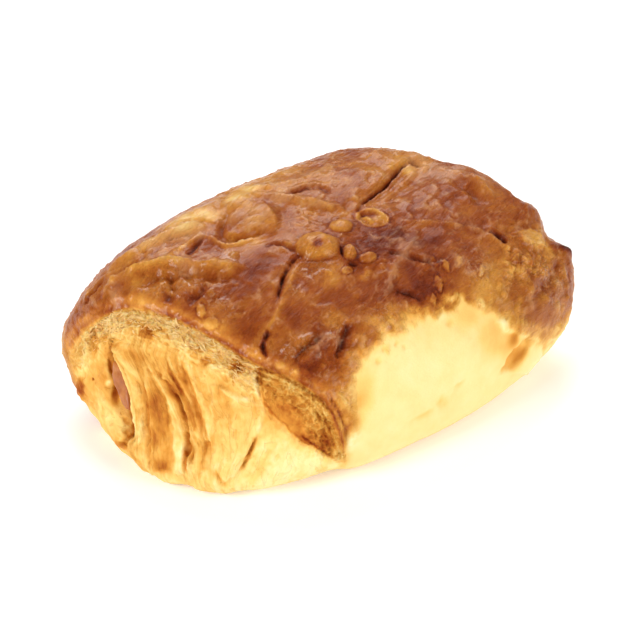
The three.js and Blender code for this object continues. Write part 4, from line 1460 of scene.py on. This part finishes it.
def dough_finish():
    """Glossy crust, pale soft side and flaky ends, told apart by the values that the dough carries"""
    finish = Finish("baked_dough")
    bake, crest, glint, crumb, pale, layer, rim_gap = (
        finish.attribute(name) for name in ("bake", "crest", "glint", "crumb", "pale", "layer", "rim_gap"))
    places = finish.node("ShaderNodeSeparateXYZ", None, {0: finish.place()}).outputs
    along_x, along_y, along_z = (Amount(finish, socket) for socket in places)

    mottle = finish.noise(finish.place(), 230.0, 5.0, 0.6)
    soft_mottle = finish.noise(finish.place(), 90.0, 3.0, 0.5, 0.6)
    grain = finish.noise(finish.place(), 1500.0, 4.0, 0.65)
    streaks = finish.noise(finish.stretched(260.0, 900.0, 700.0), 1.0, 5.0, 0.62, 0.8)

    # Thin leaves along the layers, and rings of crumb close to the rim
    stacked = finish.joined(layer * 1.3, along_z * 110.0, along_x * 90.0)
    leaves = finish.noise(stacked, 1.0, 5.0, 0.6, 0.5)
    ringed = finish.joined(rim_gap * 1.6, along_y * 260.0, along_z * 200.0)
    rings = finish.noise(ringed, 1.0, 5.0, 0.65, 0.6)
    by_rim = 1.0 - finish.steps(rim_gap, 3.0, 8.0)
    flaky = leaves + by_rim * (rings - leaves)
    crust = (1.0 - crumb) * (1.0 - pale)

    # Threads, scraps, shreds and sheets of torn dough
    bent = finish.pushed(finish.place(), 420.0, 0.0020)
    threads = 1.0 - finish.steps((finish.noise(bent, 520.0, 2.0, 0.5) - 0.5).size(), 0.004, 0.030)
    more_threads = 1.0 - finish.steps((finish.noise(bent, 820.0, 2.0, 0.5) - 0.48).size(), 0.004, 0.034)
    patchy = finish.steps(mottle, 0.40, 0.56)
    web = (threads + more_threads * 0.7).clamped() * crumb * (0.08 + by_rim * 0.92) * (0.3 + patchy * 0.7)
    scraps = finish.steps(finish.noise(bent, 640.0, 3.0, 0.6), 0.55, 0.60) * crumb * (0.15 + by_rim * 0.85)
    torn = finish.noise(finish.joined(layer * 0.9, along_z * 150.0, along_x * 150.0), 1.0, 3.0, 0.6, 0.8)
    shreds = finish.steps(torn, 0.54, 0.58) * crumb * (1.0 - by_rim)
    sheets = (rim_gap * 5.5 + (streaks - 0.5) * 7.0).sine()
    sheets = sheets * crumb * (1.0 - finish.steps(rim_gap, 1.2, 5.0))

    # Colour
    tone = bake + crust * ((soft_mottle - 0.5) * 0.30 + (mottle - 0.5) * 0.20 + (streaks - 0.5) * 0.18
                           + (grain - 0.5) * 0.07)
    rough = 0.35 + by_rim * 0.65
    tone = tone + crumb * ((flaky - 0.5) * 0.28 + rough * ((mottle - 0.5) * 0.24 + (grain - 0.5) * 0.14))
    tone = tone - web * 0.07 - sheets * 0.05 + scraps * 0.07 + shreds * 0.03
    tone = tone.at_least(crumb * 0.09)
    tone = tone + pale * ((mottle - 0.5) * 0.07 + (soft_mottle - 0.5) * 0.14)
    tone = tone + pale * (1.0 - pale) * ((mottle - 0.5) * 1.1 + (streaks - 0.5) * 0.8)
    # Painted highlight: pale pinkish specks where the crust glints, and a painted sheen on fold tops and in
    # the sheens' places
    puckers = finish.noise(finish.place(), 950.0, 2.0, 0.5, 0.4)
    painted_glints = finish.steps(puckers, 0.55, 0.61) * glint
    painted_sheen = finish.steps(crest + (streaks - 0.5) * 1.6, 0.35, 1.5) * crust
    painted_sheen_and_glints = (painted_sheen * 0.30 + painted_glints * 0.30).clamped()
    finish.set(Base_Color=finish.blended(painted_sheen_and_glints, finish.ramp(tone, BAKED), PAINTED_SHEEN_COLOUR))

    # Gloss
    finish.set(Roughness=(0.62 - crust * 0.24 + (grain - 0.5) * 0.2 - glint * 0.08).clamped(),
               Coat_Weight=crust * (0.24 - 0.15 * finish.steps(bake, 0.6, 0.8)) + glint * 0.35)
    finish.set(Coat_Roughness=0.17, IOR=1.4, Specular_IOR_Level=0.15)
    finish.set(Subsurface_Weight=0.12, Subsurface_Radius=(1.0, 0.5, 0.2), Subsurface_Scale=0.0018)

    # Fine relief
    wrinkles = finish.noise(finish.pushed(finish.stretched(190.0, 640.0, 560.0), 0.5, 1.6), 1.0, 5.0, 0.66)
    off_rim = 0.35 + 0.65 * finish.steps(rim_gap, 1.5, 4.0)
    relief = crust * off_rim * (streaks * 1.6 + wrinkles * 2.1 + grain * 0.35) + glint * puckers * 2.6
    relief = relief + crumb * (flaky * 0.9 + rough * grain * 0.45) + web * 0.5 + sheets * 0.25
    relief = relief + pale * grain * 0.15 - scraps * 0.3 - shreds * 0.3
    finish.set(Normal=finish.bumped(relief, 0.85, 0.7))
    return finish.material


def flake_finish():
    finish = Finish("flaky_leaf")
    blotch = finish.noise(finish.place(), 240.0, 4.0, 0.6)
    colour = finish.ramp(blotch, [(0.32, linear(214, 152, 80)), (0.46, linear(234, 186, 112)),
                                  (0.62, linear(246, 212, 146))])
    grain = finish.noise(finish.place(), 1500.0, 4.0, 0.65)
    finish.set(Base_Color=colour, Roughness=0.5 + (grain - 0.5) * 0.3, Normal=finish.bumped(grain, 0.4, 0.2))
    finish.set(Subsurface_Weight=0.15, Subsurface_Radius=(1.0, 0.6, 0.3), Subsurface_Scale=0.001)
    return finish.material


def ham_finish():
    finish = Finish("cooked_ham")
    fibres = finish.noise(finish.stretched(200.0, 900.0, 500.0), 1.0, 4.0, 0.6)
    blush = finish.noise(finish.stretched(300.0, 300.0, 160.0), 1.0, 4.0, 0.65)
    colour = finish.ramp(blush, [(0.3, linear(148, 76, 24)), (0.5, linear(174, 99, 35)),
                                 (0.7, linear(196, 125, 52))])
    finish.set(Base_Color=colour, Roughness=0.42 + (fibres - 0.5) * 0.2,
               Normal=finish.bumped(fibres, 0.4, 0.3))
    finish.set(Subsurface_Weight=0.25, Subsurface_Radius=(1.0, 0.4, 0.25), Subsurface_Scale=0.0015,
               Coat_Weight=0.08, Coat_Roughness=0.3)
    return finish.material


def cheese_finish():
    finish = Finish("melted_cheese")
    blotch = finish.noise(finish.place(), 300.0, 3.0)
    colour = finish.ramp(blotch, [(0.3, linear(176, 130, 52)), (0.5, linear(208, 170, 82)),
                                  (0.68, linear(234, 210, 142))])
    finish.set(Base_Color=colour, Roughness=0.38 + (blotch - 0.5) * 0.2,
               Normal=finish.bumped(blotch, 0.4, 0.5))
    finish.set(Subsurface_Weight=0.3, Subsurface_Radius=(1.0, 0.8, 0.4), Subsurface_Scale=0.002,
               Coat_Weight=0.25, Coat_Roughness=0.15)
    return finish.material


def floor_finish():
    finish = Finish("pale_floor")
    finish.set(Base_Color=(0.93, 0.93, 0.93, 1.0), Roughness=0.9, Specular_IOR_Level=0.1,
               Emission_Color=(1.0, 0.99, 0.97, 1.0), Emission_Strength=FLOOR_GLOW)
    return finish.material


# Room

def add_floor():
    form = bmesh.new()
    bmesh.ops.create_circle(form, cap_ends=True, segments=64, radius=FLOOR_RADIUS)
    mesh = bpy.data.meshes.new("floor")
    form.to_mesh(mesh)
    form.free()
    mesh.materials.append(floor_finish())
    shown("floor", mesh)


def add_light(name, at, size, energy, colour):
    """A round light that looks at the origin"""
    data = bpy.data.lights.new(name, "AREA")
    data.shape = "DISK"
    data.size = size
    data.energy = energy
    data.color = colour
    light = bpy.data.objects.new(name, data)
    light.location = at
    light.rotation_mode = "QUATERNION"
    light.rotation_quaternion = (-Vector(at)).to_track_quat("-Z", "Y")
    bpy.context.scene.collection.objects.link(light)


def add_room():
    add_floor()
    for name, lamp in LIGHTS.items():
        add_light(name, **lamp)
    world = bpy.data.worlds.new("studio")
    bpy.context.scene.world = world
    world.use_nodes = True
    background = world.node_tree.nodes["Background"]
    background.inputs["Color"].default_value = (1.0, 1.0, 1.0, 1.0)
    background.inputs["Strength"].default_value = WORLD_LIGHT
    bpy.context.scene.view_settings.view_transform = "Standard"


add_camera()
add_room()
pastry, rims = make_dough()
flakes = make_flakes(pastry, rims)
ham = make_filling("ham", HAM_ROUGHNESS, HAM_SPREAD, ham_finish())
cheese = make_filling("cheese", CHEESE_ROUGHNESS, CHEESE_SPREAD, cheese_finish())
for piece, node in ((pastry, "dough"), (ham, "ham"), (cheese, "cheese")):
    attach(piece, "root")
    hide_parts(node)
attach(flakes, "root")
